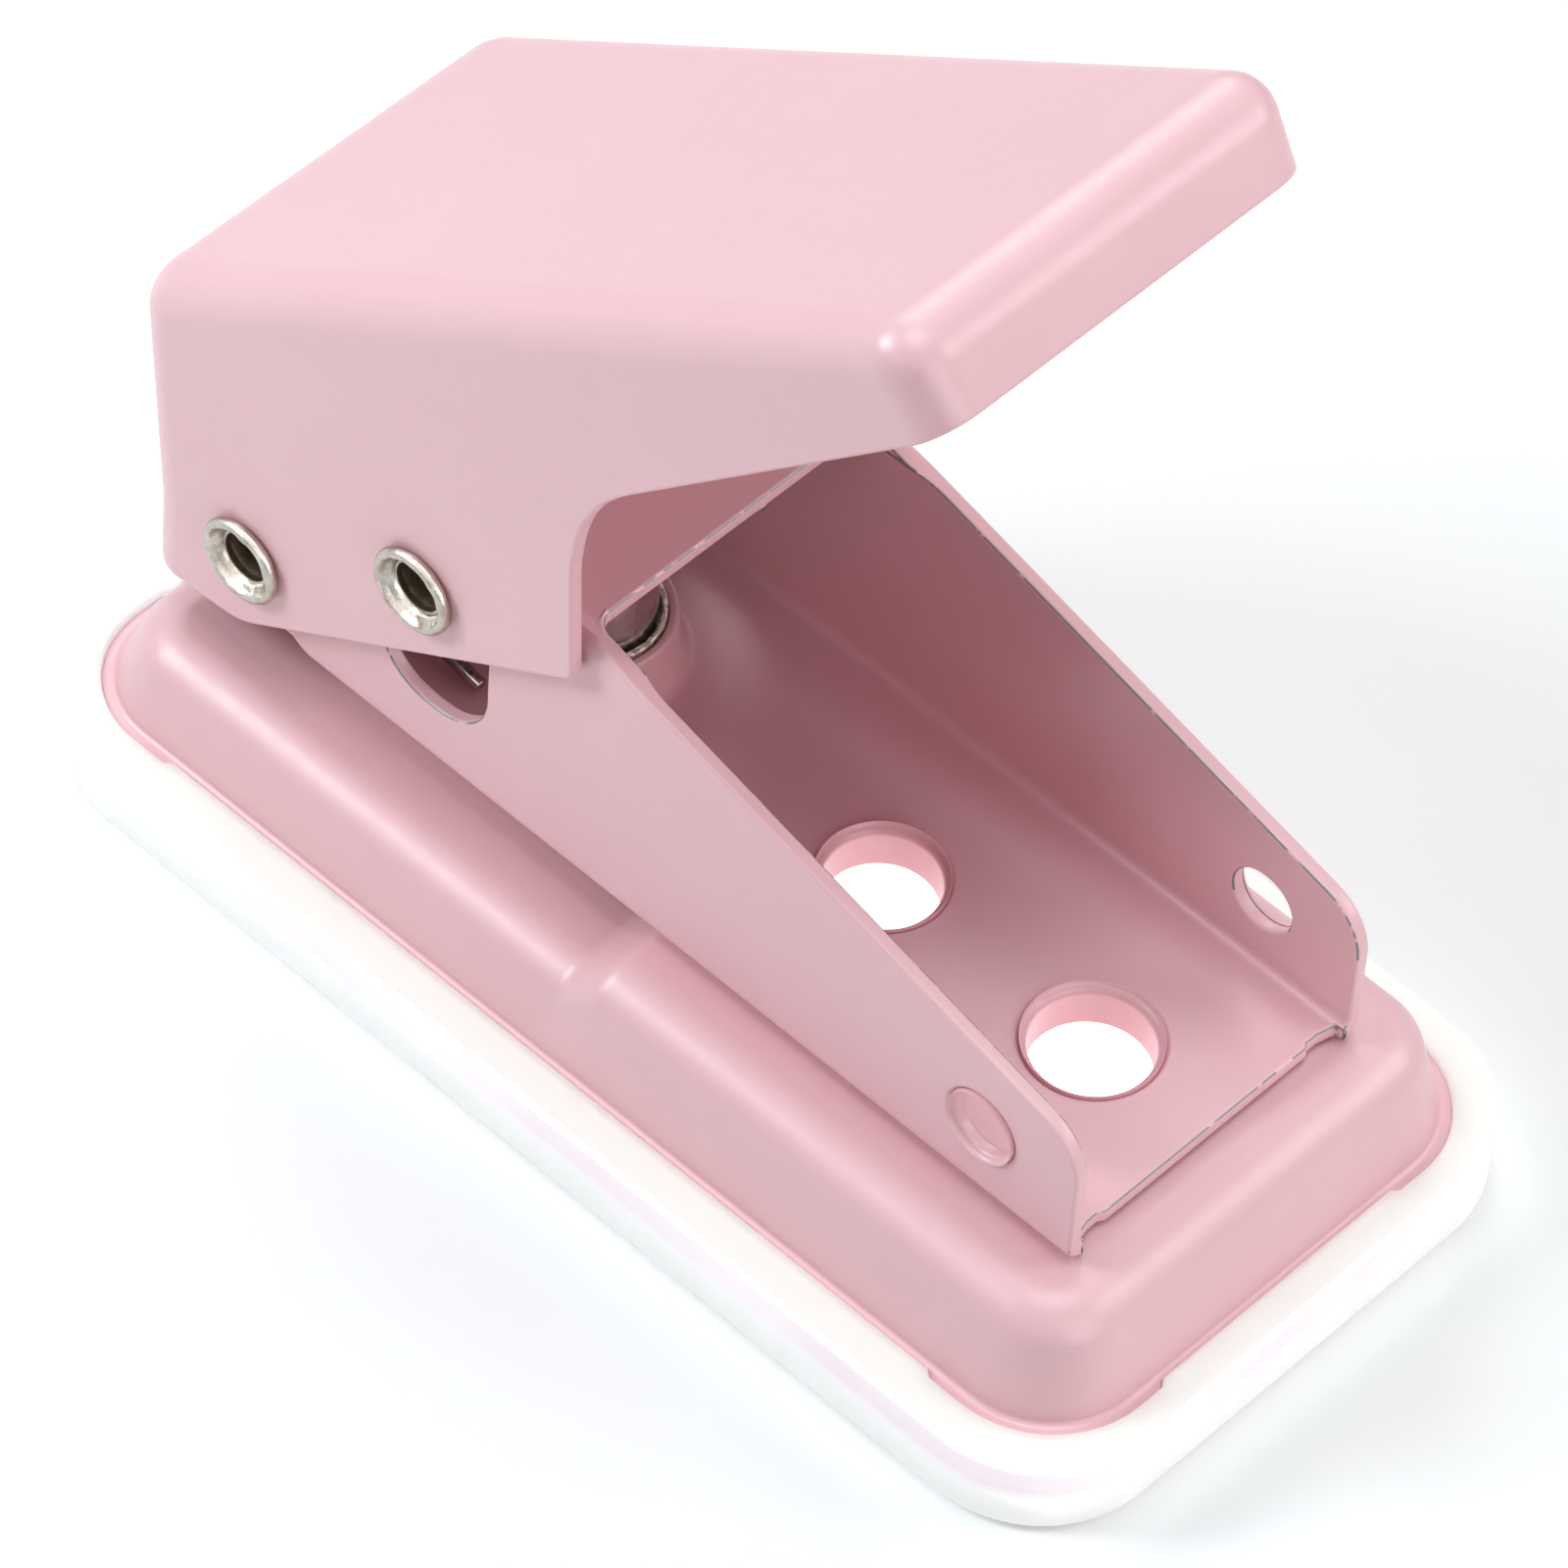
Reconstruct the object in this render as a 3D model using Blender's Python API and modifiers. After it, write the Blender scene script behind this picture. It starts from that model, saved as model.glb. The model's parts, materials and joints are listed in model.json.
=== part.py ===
"""Compact one-hole paper punch: a stamped base and frame, a hinged press handle, a punch pin
driven by a hollow rivet, a torsion return spring and a chip tray that pulls off downwards.

World frame: the origin is the centre of the tray's footprint on the table, +X points to the
handle's free end, +Z up. The handle is built in its own frame, with its origin on the pivot,
u along its flat top and w square to it.
"""

import math

import bmesh
import bpy
from mathutils import Matrix, Vector

MM = 0.001

# Sheet steel and the gap kept between pieces that touch on the real object
SHEET = 1.2 * MM
GAP = 0.25 * MM

# Chip tray
TRAY_HALF_LENGTH = 50.0 * MM
TRAY_HALF_WIDTH = 25.6 * MM
TRAY_CORNER = 9.8 * MM
TRAY_HEIGHT = 6.9 * MM
TRAY_FLOOR = 1.4 * MM
TRAY_EDGE_ROUND = 0.9 * MM
TRAY_SEAT_HEIGHT = 5.0 * MM
TRAY_SEAT_STEP = 2.6 * MM

# Base shell: its lip is a rounded rectangle, and everything above is that outline drawn in
BASE_CENTRE_X = -0.66 * MM
BASE_STRAIGHT_X = 40.0 * MM
BASE_STRAIGHT_Y = 14.3 * MM
BASE_CORNER = 8.3 * MM
LIP_TOP = 6.5 * MM
FOOT_INSET = 1.0 * MM
FOOT_RISE = 0.5 * MM
SHOULDER_INSET = 2.2 * MM
SHOULDER_RADIUS = 4.0 * MM
SHOULDER_START = math.radians(22)
FRONT_TABLE = 15.35 * MM
REAR_TABLE = 12.8 * MM
STEP_CENTRE_X = 0.0 * MM
STEP_HALF_LENGTH = 2.2 * MM

# Punch frame, an upright channel with a floor, two walls and a short roof at the rear
FRAME_HALF_WIDTH = 14.475 * MM
FRAME_BOTTOM = 15.6 * MM
FRAME_FLOOR_TOP = FRAME_BOTTOM + SHEET
FRAME_FRONT_X = 40.5 * MM
FRAME_FLOOR_FRONT_X = 39.7 * MM
FRAME_ROOF_TOP = 40.7 * MM
FRAME_ROOF_FRONT_X = -6.3 * MM
FRAME_ROOF_REAR_X = -30.0 * MM
FRAME_WALL_TOP_AT_FRONT = 27.6 * MM
FRAME_FRONT_CORNER = 4.7 * MM
FRAME_FLOOR_REAR_X = -31.0 * MM
FRAME_EAR_REAR_X = -42.4 * MM
FRAME_EAR_BOTTOM = 17.9 * MM
FRAME_EAR_TOP = 28.5 * MM
FRAME_EAR_ROUNDS = (5.0 * MM, 5.5 * MM)
FRAME_ROOF_REAR_ROUND = 3.0 * MM
FRAME_CURL_LENGTH = 2.3 * MM
FRAME_CURL_RISE = 1.7 * MM
FRAME_OPENING_CORNER = 1.2 * MM
FLOOR_FRONT_HALF_WIDTH = 12.9 * MM
SMALL_ROUND = 0.3 * MM
BEND_OUTSIDE = 1.6 * MM
BEND_INSIDE = BEND_OUTSIDE - SHEET
FLOOR_HOLES = ((9.6 * MM, 4.2 * MM), (29.2 * MM, 4.45 * MM))
WALL_HOLE_X = 31.9 * MM
WALL_HOLE_Z = 22.8 * MM
WALL_HOLE_RADIUS = 2.6 * MM
WINDOW_REAR_X = -24.9 * MM
WINDOW_FRONT_X = -14.7 * MM
WINDOW_BOTTOM = 21.65 * MM
WINDOW_TOP = 38.2 * MM
WINDOW_CORNER = 4.6 * MM
CLINCH_DEPTH = 2.6 * MM
CLINCH_RIM = 0.5 * MM

# Punch pin, its guide and its die
PUNCH_X = -18.8 * MM
PUNCH_RADIUS = 4.75 * MM
PUNCH_BOTTOM = 16.3 * MM
PUNCH_TOP = 39.0 * MM
PUNCH_CHAMFER = 0.4 * MM
PUNCH_EDGE_WIDTH = 0.6 * MM
PUNCH_EDGE_RISE = 0.25 * MM
PUNCH_HOLLOW = 0.9 * MM
PUNCH_SLOT_REAR = 3.55 * MM
PUNCH_SLOT_FRONT = 4.05 * MM
PUNCH_SLOT_CLEARANCE = 0.3 * MM
BUSH_BORE = 5.05 * MM
BUSH_RADIUS = 5.45 * MM
BUSH_TOP = 21.6 * MM
BUSH_CHAMFER = 0.1 * MM
COLLAR_BORE = 5.6 * MM
COLLAR_RADIUS = 6.25 * MM
COLLAR_TOP = 21.35 * MM
COLLAR_FLARE = 1.4 * MM
DIE_BORE = 4.85 * MM
DIE_RADIUS = 9.0 * MM
DIE_THICKNESS = 2.0 * MM

# Handle, in its own frame
PIVOT = Vector((-36.5 * MM, 0, 24.4 * MM))
HANDLE_TILT = math.radians(35.34)
HANDLE_TOP = 23.6 * MM
HANDLE_FRONT = 87.5 * MM
HANDLE_REAR_AT_TOP = 4.4 * MM
HANDLE_REAR_SLOPE = 0.7229
HANDLE_HALF_WIDTH = 16.0 * MM
HANDLE_HALF_WIDTH_AT_TOP = 18.0 * MM
HANDLE_LEAN_START = 3.8 * MM
HANDLE_BLANK_DEPTH = 12.0 * MM
HANDLE_ROUND = 3.5 * MM
HANDLE_SKIRT_SLOPE = 0.1918
HANDLE_TRIM = (
    (-25.0 * MM, 6.3 * MM, 0.0),
    (-4.8 * MM, -5.8 * MM, 6.0 * MM),
    (32.9 * MM, -7.15 * MM, 1.5 * MM),
    (42.15 * MM, 7.37 * MM, 18.0 * MM),
)

# Rivets, hollow, with a rolled head at each end
RIVET_SHANK = 2.0 * MM
RIVET_BORE = 1.6 * MM
RIVET_HEAD = 3.5 * MM
RIVET_HEAD_THICKNESS = 0.9 * MM
RIVET_SEAT_GAP = 0.08 * MM
RIVET_HOLE = 2.15 * MM
RIVET_LIP_WIDTH = 0.55 * MM
RIVET_LIP_DROP = 0.12 * MM
RIVET_FUNNEL_WIDTH = 0.35 * MM
RIVET_FUNNEL_LIFT = 0.25 * MM
RIVET_FUNNEL_DEPTH = 0.5 * MM
DRIVE_U = 19.65 * MM
DRIVE_W = -0.8 * MM

# Return spring, wound round the pivot rivet, with both legs running forwards
WIRE_RADIUS = 0.55 * MM
COIL_RADIUS = 3.3 * MM
COIL_PITCH = 1.17 * MM
COIL_FULL_TURNS = 3
COIL_STEPS_PER_TURN = 18
LOWER_LEG_Y = -8.3 * MM
LOWER_LEG_DROP = math.radians(12.5)
LOWER_LEG_LENGTH = 16.6 * MM
UPPER_LEG_RISE = math.radians(15.2)
UPPER_LEG_LENGTH = 21.0 * MM

ARC_STEPS = 6
CORNER_STEPS = 8
SHOULDER_STEPS = 6
ROUND_STEPS = 48
RIVET_STEPS = 40

THROUGH = 60.0 * MM

# Linear colours of the paint, plastic and metals
PINK_PAINT = (0.76, 0.47, 0.51)
TRAY_WHITE = (0.86, 0.85, 0.85)
NICKEL = (0.72, 0.68, 0.62)
TOOL_STEEL = (0.55, 0.53, 0.52)
SPRING_STEEL = (0.60, 0.58, 0.56)


# Scene set-up

def clear_scene():
    for obj in list(bpy.data.objects):
        bpy.data.objects.remove(obj, do_unlink=True)


def new_collection(name, hidden=False):
    collection = bpy.data.collections.new(name)
    bpy.context.scene.collection.children.link(collection)
    collection.hide_render = hidden
    return collection


def new_material(name, colour, roughness, metallic=0.0, transmission=0.0):
    material = bpy.data.materials.new(name)
    material.use_nodes = True
    shader = material.node_tree.nodes["Principled BSDF"]
    shader.inputs["Base Color"].default_value = (*colour, 1)
    shader.inputs["Roughness"].default_value = roughness
    shader.inputs["Metallic"].default_value = metallic
    shader.inputs["Transmission Weight"].default_value = transmission
    return material


def new_empty(name, location, rotation=(0, 0, 0)):
    empty = bpy.data.objects.new(name, None)
    empty.location = location
    empty.rotation_euler = rotation
    empty.empty_display_size = 0.01
    PARTS.objects.link(empty)
    return empty


# Outlines

def rounded(corners):
    """A closed outline through (a, b, radius) corners, each turned into an arc of its radius."""
    outline = []
    for i, (a, b, radius) in enumerate(corners):
        here = Vector((a, b))
        to_last = (Vector(corners[i - 1][:2]) - here).normalized()
        to_next = (Vector(corners[(i + 1) % len(corners)][:2]) - here).normalized()
        if radius == 0:
            outline.append(here)
            continue
        half = to_last.angle(to_next) / 2
        centre = here + (to_last + to_next).normalized() * (radius / math.sin(half))
        spoke = here + to_last * (radius / math.tan(half)) - centre
        turn = math.copysign(math.pi - 2 * half, -to_last.cross(to_next))
        for step in range(ARC_STEPS + 1):
            outline.append(centre + Matrix.Rotation(turn * step / ARC_STEPS, 2) @ spoke)
    return outline


def rounded_rectangle(low, high, radius):
    (a0, b0), (a1, b1) = low, high
    return rounded([(a0, b0, radius), (a1, b0, radius), (a1, b1, radius), (a0, b1, radius)])


# Solids

def add_object(name, mesh, material=None, parent=None):
    """A part, or a hidden cutter where it has no material."""
    obj = bpy.data.objects.new(name, mesh)
    (PARTS if material else CUTTERS).objects.link(obj)
    obj.parent = parent
    if material:
        mesh.materials.append(material)
    else:
        obj.hide_render = True
        obj.display_type = "WIRE"
    return obj


FLAT = Matrix.Identity(4)
SIDEWAYS = Matrix.Rotation(math.pi / 2, 4, "X")
ENDWAYS = Matrix(((0, 0, 1, 0), (1, 0, 0, 0), (0, 1, 0, 0), (0, 0, 0, 1)))


def plate(name, outline, low, high, facing=FLAT, material=None, parent=None, edit=None):
    """A flat outline with thickness, from low to high along the way it faces.

    FLAT is drawn in XY and runs along Z, SIDEWAYS is drawn in XZ and runs along Y, and
    ENDWAYS is drawn in YZ and runs along X.
    """
    curve = bpy.data.curves.new(name, "CURVE")
    curve.dimensions = "2D"
    curve.fill_mode = "BOTH"
    curve.extrude = (high - low) / 2
    spline = curve.splines.new("POLY")
    spline.points.add(len(outline) - 1)
    for point, (a, b) in zip(spline.points, outline):
        point.co = (a, b, 0, 1)
    spline.use_cyclic_u = True
    drawn = bpy.data.objects.new(name + "_outline", curve)
    PARTS.objects.link(drawn)
    bpy.context.view_layer.update()
    graph = bpy.context.evaluated_depsgraph_get()
    mesh = bpy.data.meshes.new_from_object(drawn.evaluated_get(graph))
    bpy.data.objects.remove(drawn)
    along = -1 if facing is SIDEWAYS else 1
    placement = facing @ Matrix.Translation((0, 0, along * (low + high) / 2))
    shape = bmesh.new()
    shape.from_mesh(mesh)
    bmesh.ops.remove_doubles(shape, verts=shape.verts, dist=1e-7)
    bmesh.ops.dissolve_limit(
        shape, angle_limit=math.radians(0.5), verts=shape.verts, edges=shape.edges
    )
    bmesh.ops.transform(shape, matrix=placement, verts=shape.verts)
    if edit:
        edit(shape)
    bmesh.ops.recalc_face_normals(shape, faces=shape.faces)
    shape.to_mesh(mesh)
    shape.free()
    return add_object(name, mesh, material, parent)


def round_edges(shape, chosen, radius, segments=4):
    edges = [edge for edge in shape.edges if chosen(edge)]
    bmesh.ops.bevel(
        shape, geom=edges, offset=radius, segments=segments, profile=0.5, affect="EDGES"
    )


def all_at(edge, axis, value):
    return all(abs(vert.co[axis] - value) < 1e-6 for vert in edge.verts)


def turned(
    name, profile, steps=ROUND_STEPS, along_y=False, at=(0, 0, 0), material=None, parent=None
):
    """(radius, height) points turned about the local Z axis, or about Y."""
    mesh = bpy.data.meshes.new(name)
    count = len(profile)
    on_axis = profile[0][0] == 0
    edges = [(i, i + 1) for i in range(count - 1)]
    if not on_axis:
        edges.append((count - 1, 0))
    mesh.from_pydata([(radius, 0, height) for radius, height in profile], edges, [])
    obj = add_object(name, mesh, material, parent)
    obj.location = at
    obj.rotation_euler = (-math.pi / 2 if along_y else 0, 0, 0)
    screw = obj.modifiers.new("turn", "SCREW")
    screw.axis = "Z"
    screw.steps = steps
    screw.render_steps = steps
    screw.use_merge_vertices = True
    screw.merge_threshold = 1e-7
    screw.use_smooth_shade = True
    return obj


def drill(name, radius, low, high, along_y=False, at=(0, 0, 0), parent=None):
    """A round cutter from low to high along its axis."""
    profile = [(0, high), (radius, high), (radius, low), (0, low)]
    return turned(name, profile, along_y=along_y, at=at, parent=parent)


def boolean(obj, other, operation="DIFFERENCE"):
    modifier = obj.modifiers.new(f"{operation.lower()} {other.name}", "BOOLEAN")
    modifier.object = other
    modifier.operation = operation
    modifier.solver = "EXACT"


# The pieces

def lip_outline(corner):
    """The base's outline with another corner radius, so drawn in or out all round."""
    x, y = BASE_STRAIGHT_X + corner, BASE_STRAIGHT_Y + corner
    return rounded_rectangle((BASE_CENTRE_X - x, -y), (BASE_CENTRE_X + x, y), corner)


def chip_tray(material, parent):
    """An open tray with a seat for the base's lip inside its rim."""
    half = (TRAY_HALF_LENGTH, TRAY_HALF_WIDTH)
    outline = rounded_rectangle((-TRAY_HALF_LENGTH, -TRAY_HALF_WIDTH), half, TRAY_CORNER)

    def soften(shape):
        round_edges(
            shape,
            lambda edge: all_at(edge, 2, TRAY_HEIGHT) or all_at(edge, 2, 0),
            TRAY_EDGE_ROUND,
            segments=3,
        )

    tray = plate("chip_tray", outline, 0, TRAY_HEIGHT, material=material, parent=parent, edit=soften)
    seat = lip_outline(BASE_CORNER + GAP)
    well = lip_outline(BASE_CORNER + GAP - TRAY_SEAT_STEP)
    above = TRAY_HEIGHT * 2
    boolean(tray, plate("tray_seat_cutter", seat, TRAY_SEAT_HEIGHT, above))
    boolean(tray, plate("tray_well_cutter", well, TRAY_FLOOR, above))


def table_height(x):
    """Top of the base along its length: a low rear table, a smooth step, a higher front."""
    t = min(max((x - STEP_CENTRE_X) / STEP_HALF_LENGTH, -1), 1)
    rise = 0.5 + 0.75 * t - 0.25 * t**3
    return REAR_TABLE + (FRONT_TABLE - REAR_TABLE) * rise


def base_section():
    """(inset from the lip, height above the lip, drop below the table) up the side of the base.

    A point hangs from the table where its drop is given, and stands on the lip otherwise.
    """
    section = [(0, 0, None), (0.35 * FOOT_INSET, 0.08 * FOOT_RISE, None)]
    section.append((0.8 * FOOT_INSET, 0.4 * FOOT_RISE, None))
    section.append((FOOT_INSET, FOOT_RISE, None))
    for step in range(SHOULDER_STEPS + 1):
        angle = SHOULDER_START + (math.pi / 2 - SHOULDER_START) * step / SHOULDER_STEPS
        inset = SHOULDER_INSET + SHOULDER_RADIUS * (1 - math.cos(angle))
        section.append((inset, None, SHOULDER_RADIUS * (1 - math.sin(angle))))
    return section


def base_ring(inset):
    """The lip's outline drawn in by an inset, from the front's middle round to the rear and back."""
    radius = BASE_CORNER - inset
    stations = [STEP_CENTRE_X - BASE_CENTRE_X + STEP_HALF_LENGTH * k / 4 for k in range(-4, 5)]
    side = [BASE_STRAIGHT_X / 2, *reversed(stations), -BASE_STRAIGHT_X / 2]

    def corner(x, start):
        angles = [start + math.pi / 2 * step / CORNER_STEPS for step in range(CORNER_STEPS + 1)]
        return [(x + radius * math.cos(a), BASE_STRAIGHT_Y + radius * math.sin(a)) for a in angles]

    half = corner(BASE_STRAIGHT_X, 0)
    half += [(x, BASE_STRAIGHT_Y + radius) for x in side]
    half += corner(-BASE_STRAIGHT_X, math.pi / 2)
    ring = half + [(x, -y) for x, y in reversed(half)]
    return [(BASE_CENTRE_X + x, y) for x, y in ring]


def base_shell(material):
    """One drawn sheet: a loft of inset outlines, closed across the top by strips from side to side."""
    shape = bmesh.new()
    rings = []
    for inset, height, drop in base_section():
        ring = []
        for x, y in base_ring(inset):
            z = LIP_TOP + height if drop is None else table_height(x) - drop
            ring.append(shape.verts.new((x, y, z)))
        rings.append(ring)
    count = len(rings[0])
    for lower, upper in zip(rings, rings[1:]):
        for i in range(count):
            j = (i + 1) % count
            shape.faces.new((lower[i], lower[j], upper[j], upper[i]))
    top = rings[-1]
    for i in range(count // 2 - 1):
        shape.faces.new((top[i], top[i + 1], top[count - 2 - i], top[count - 1 - i]))
    bmesh.ops.recalc_face_normals(shape, faces=shape.faces)
    if sum(face.normal.z for face in shape.faces) < 0:
        bmesh.ops.reverse_faces(shape, faces=shape.faces)
    for face in shape.faces:
        face.smooth = True
    mesh = bpy.data.meshes.new("base_shell")
    shape.to_mesh(mesh)
    shape.free()
    base = add_object("base_shell", mesh, material)
    sheet = base.modifiers.new("sheet", "SOLIDIFY")
    sheet.thickness = SHEET
    sheet.offset = -1
    sheet.use_even_offset = True
    above = FRAME_ROOF_TOP
    boolean(base, drill("base_die_cutter", DIE_BORE + GAP, 0, above, at=(PUNCH_X, 0, 0)))
    for number, (x, radius) in enumerate(FLOOR_HOLES):
        clear = radius + SHEET + GAP
        boolean(base, drill(f"base_hole_cutter_{number}", clear, 0, above, at=(x, 0, 0)))


def frame_side():
    """Side outline of the frame's walls, in X and Z."""
    top_round, bottom_round = FRAME_EAR_ROUNDS
    return rounded([
        (FRAME_FLOOR_REAR_X, FRAME_BOTTOM, 2 * SMALL_ROUND),
        (FRAME_FRONT_X, FRAME_BOTTOM, SMALL_ROUND),
        (FRAME_FRONT_X, FRAME_WALL_TOP_AT_FRONT, FRAME_FRONT_CORNER),
        (FRAME_ROOF_FRONT_X, FRAME_ROOF_TOP, 2 * SMALL_ROUND),
        (FRAME_ROOF_REAR_X, FRAME_ROOF_TOP, FRAME_ROOF_REAR_ROUND),
        (FRAME_EAR_REAR_X, FRAME_EAR_TOP, top_round),
        (FRAME_EAR_REAR_X, FRAME_EAR_BOTTOM, bottom_round),
        (FRAME_FLOOR_REAR_X - FRAME_CURL_LENGTH, FRAME_BOTTOM + FRAME_CURL_RISE, 3 * SMALL_ROUND),
    ])


def frame_channel(material):
    """The bent channel alone: a rounded tube cut to the side outline, hollowed and opened above."""
    inside = FRAME_HALF_WIDTH - SHEET
    end = rounded_rectangle(
        (-FRAME_HALF_WIDTH, FRAME_BOTTOM), (FRAME_HALF_WIDTH, FRAME_ROOF_TOP), BEND_OUTSIDE
    )
    frame = plate("punch_frame", end, -THROUGH, THROUGH, facing=ENDWAYS, material=material)
    side = plate("frame_side_trim", frame_side(), -THROUGH, THROUGH, facing=SIDEWAYS)
    boolean(frame, side, "INTERSECT")
    hollow = rounded_rectangle(
        (-inside, FRAME_FLOOR_TOP), (inside, FRAME_ROOF_TOP - SHEET), BEND_INSIDE
    )
    boolean(frame, plate("frame_hollow_cutter", hollow, -THROUGH, THROUGH, facing=ENDWAYS))
    half = inside - BEND_INSIDE
    opening = rounded_rectangle(
        (FRAME_ROOF_FRONT_X, -half), (THROUGH, half), FRAME_OPENING_CORNER
    )
    boolean(frame, plate("roof_opening_cutter", opening, FRAME_ROOF_TOP - 2 * SHEET, THROUGH))
    return frame


def draw_guide_collar(frame):
    """A collar drawn up out of the floor round the punch pin, with a flared foot."""
    foot = FRAME_FLOOR_TOP - SHEET / 2
    flare = [
        (COLLAR_BORE - GAP, COLLAR_TOP),
        (COLLAR_RADIUS - SMALL_ROUND, COLLAR_TOP),
        (COLLAR_RADIUS, COLLAR_TOP - SMALL_ROUND),
    ]
    for step in range(5):
        angle = math.pi / 2 * step / 4
        radius = COLLAR_RADIUS + COLLAR_FLARE * (1 - math.cos(angle))
        flare.append((radius, FRAME_FLOOR_TOP + COLLAR_FLARE * (1 - math.sin(angle))))
    flare += [(COLLAR_RADIUS + COLLAR_FLARE, foot), (COLLAR_BORE - GAP, foot)]
    at = (PUNCH_X, 0, 0)
    boolean(frame, turned("guide_collar_join", flare, at=at), "UNION")
    under_roof = FRAME_ROOF_TOP - 2 * SHEET
    boolean(frame, drill("guide_collar_cutter", COLLAR_BORE, 0, under_roof, at=at))


def clinch_to_base(frame, number, x, radius):
    """A collar pushed down through the base's table, its bore rounded at the floor."""
    foot = FRAME_FLOOR_TOP - SHEET / 2
    end = FRAME_BOTTOM - CLINCH_DEPTH
    outer = radius + SHEET
    collar = [(radius - GAP, foot), (outer, foot), (outer, end), (radius - GAP, end)]
    boolean(frame, turned(f"clinch_join_{number}", collar, at=(x, 0, 0)), "UNION")
    bore = [
        (0, FRAME_ROOF_TOP),
        (radius + CLINCH_RIM, FRAME_ROOF_TOP),
        (radius + CLINCH_RIM, FRAME_FLOOR_TOP),
        (radius + 0.15 * CLINCH_RIM, FRAME_FLOOR_TOP - 0.4 * CLINCH_RIM),
        (radius, FRAME_FLOOR_TOP - CLINCH_RIM),
        (radius, 0),
        (0, 0),
    ]
    boolean(frame, turned(f"clinch_cutter_{number}", bore, at=(x, 0, 0)))


def punch_frame(material):
    """A channel bent from one sheet, with a drawn guide collar and two collars clinched to the base."""
    frame = frame_channel(material)
    draw_guide_collar(frame)
    for number, (x, radius) in enumerate(FLOOR_HOLES):
        clinch_to_base(frame, number, x, radius)
    for name, x, z, radius in (
        ("wall_hole_cutter", WALL_HOLE_X, WALL_HOLE_Z, WALL_HOLE_RADIUS),
        ("frame_pivot_cutter", PIVOT.x, PIVOT.z, RIVET_HOLE),
    ):
        boolean(frame, drill(name, radius, -THROUGH, THROUGH, along_y=True, at=(x, 0, z)))
    window = rounded_rectangle(
        (WINDOW_REAR_X, WINDOW_BOTTOM), (WINDOW_FRONT_X, WINDOW_TOP), WINDOW_CORNER
    )
    boolean(frame, plate("window_cutter", window, -THROUGH, THROUGH, facing=SIDEWAYS))
    front = rounded_rectangle(
        (FRAME_FLOOR_FRONT_X, -FLOOR_FRONT_HALF_WIDTH), (THROUGH, FLOOR_FRONT_HALF_WIDTH), SMALL_ROUND
    )
    boolean(frame, plate("floor_front_cutter", front, 0, FRAME_FLOOR_TOP + GAP))


def handle_trim():
    """Side outline that cuts the drawn handle blank: deep at the rear, a shallow skirt ahead."""
    far = HANDLE_FRONT + THROUGH
    rear_u = HANDLE_TRIM[0][0]
    bend_u, bend_w, _ = HANDLE_TRIM[-1]
    skirt_end = (far, bend_w + HANDLE_SKIRT_SLOPE * (far - bend_u), 0)
    return rounded([*HANDLE_TRIM, skirt_end, (far, THROUGH, 0), (rear_u, THROUGH, 0)])


def lean_blank(shape):
    """Moves a block's corners to the handle's leaning sides and sloping rear."""
    for vert in shape.verts:
        above = max(vert.co.z - HANDLE_LEAN_START, 0) / (HANDLE_TOP - HANDLE_LEAN_START)
        half = HANDLE_HALF_WIDTH + (HANDLE_HALF_WIDTH_AT_TOP - HANDLE_HALF_WIDTH) * above
        vert.co.y = math.copysign(half, vert.co.y)
        if vert.co.x < HANDLE_FRONT / 2:
            vert.co.x = HANDLE_REAR_AT_TOP - HANDLE_REAR_SLOPE * (HANDLE_TOP - vert.co.z)


def handle(material, pivot):
    """A lid drawn from sheet, its bottom edge trimmed to the side outline."""
    shape = bmesh.new()
    depth = HANDLE_TOP + HANDLE_BLANK_DEPTH
    centre = Vector((HANDLE_FRONT / 2, 0, HANDLE_TOP - depth / 2))
    size = Matrix.Diagonal((HANDLE_FRONT, 2 * HANDLE_HALF_WIDTH, depth, 1))
    bmesh.ops.create_cube(shape, size=1, matrix=Matrix.Translation(centre) @ size)
    bmesh.ops.bisect_plane(
        shape,
        geom=shape.verts[:] + shape.edges[:] + shape.faces[:],
        plane_co=(0, 0, HANDLE_LEAN_START),
        plane_no=(0, 0, 1),
    )
    lean_blank(shape)
    bottom = [face for face in shape.faces if face.calc_center_median().z < HANDLE_TOP - depth + 1e-6]
    bmesh.ops.delete(shape, geom=bottom, context="FACES")
    round_edges(
        shape,
        lambda edge: all_at(edge, 2, HANDLE_TOP)
        or abs(edge.verts[0].co.z - edge.verts[1].co.z) > 1 * MM,
        HANDLE_ROUND,
        segments=5,
    )
    bmesh.ops.recalc_face_normals(shape, faces=shape.faces)
    if sum(face.normal.z for face in shape.faces) < 0:
        bmesh.ops.reverse_faces(shape, faces=shape.faces)
    for face in shape.faces:
        face.smooth = True
    mesh = bpy.data.meshes.new("handle")
    shape.to_mesh(mesh)
    shape.free()
    lid = add_object("handle", mesh, material, pivot)
    sheet = lid.modifiers.new("sheet", "SOLIDIFY")
    sheet.thickness = SHEET
    sheet.offset = -1
    sheet.use_even_offset = True
    trim = plate("handle_trim", handle_trim(), -THROUGH, THROUGH, facing=SIDEWAYS, parent=pivot)
    boolean(lid, trim, "INTERSECT")
    for name, u, w in (("handle_pivot_cutter", 0, 0), ("handle_drive_cutter", DRIVE_U, DRIVE_W)):
        at = (u, 0, w)
        cutter = drill(name, RIVET_HOLE, -THROUGH, THROUGH, along_y=True, at=at, parent=pivot)
        boolean(lid, cutter)


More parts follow.
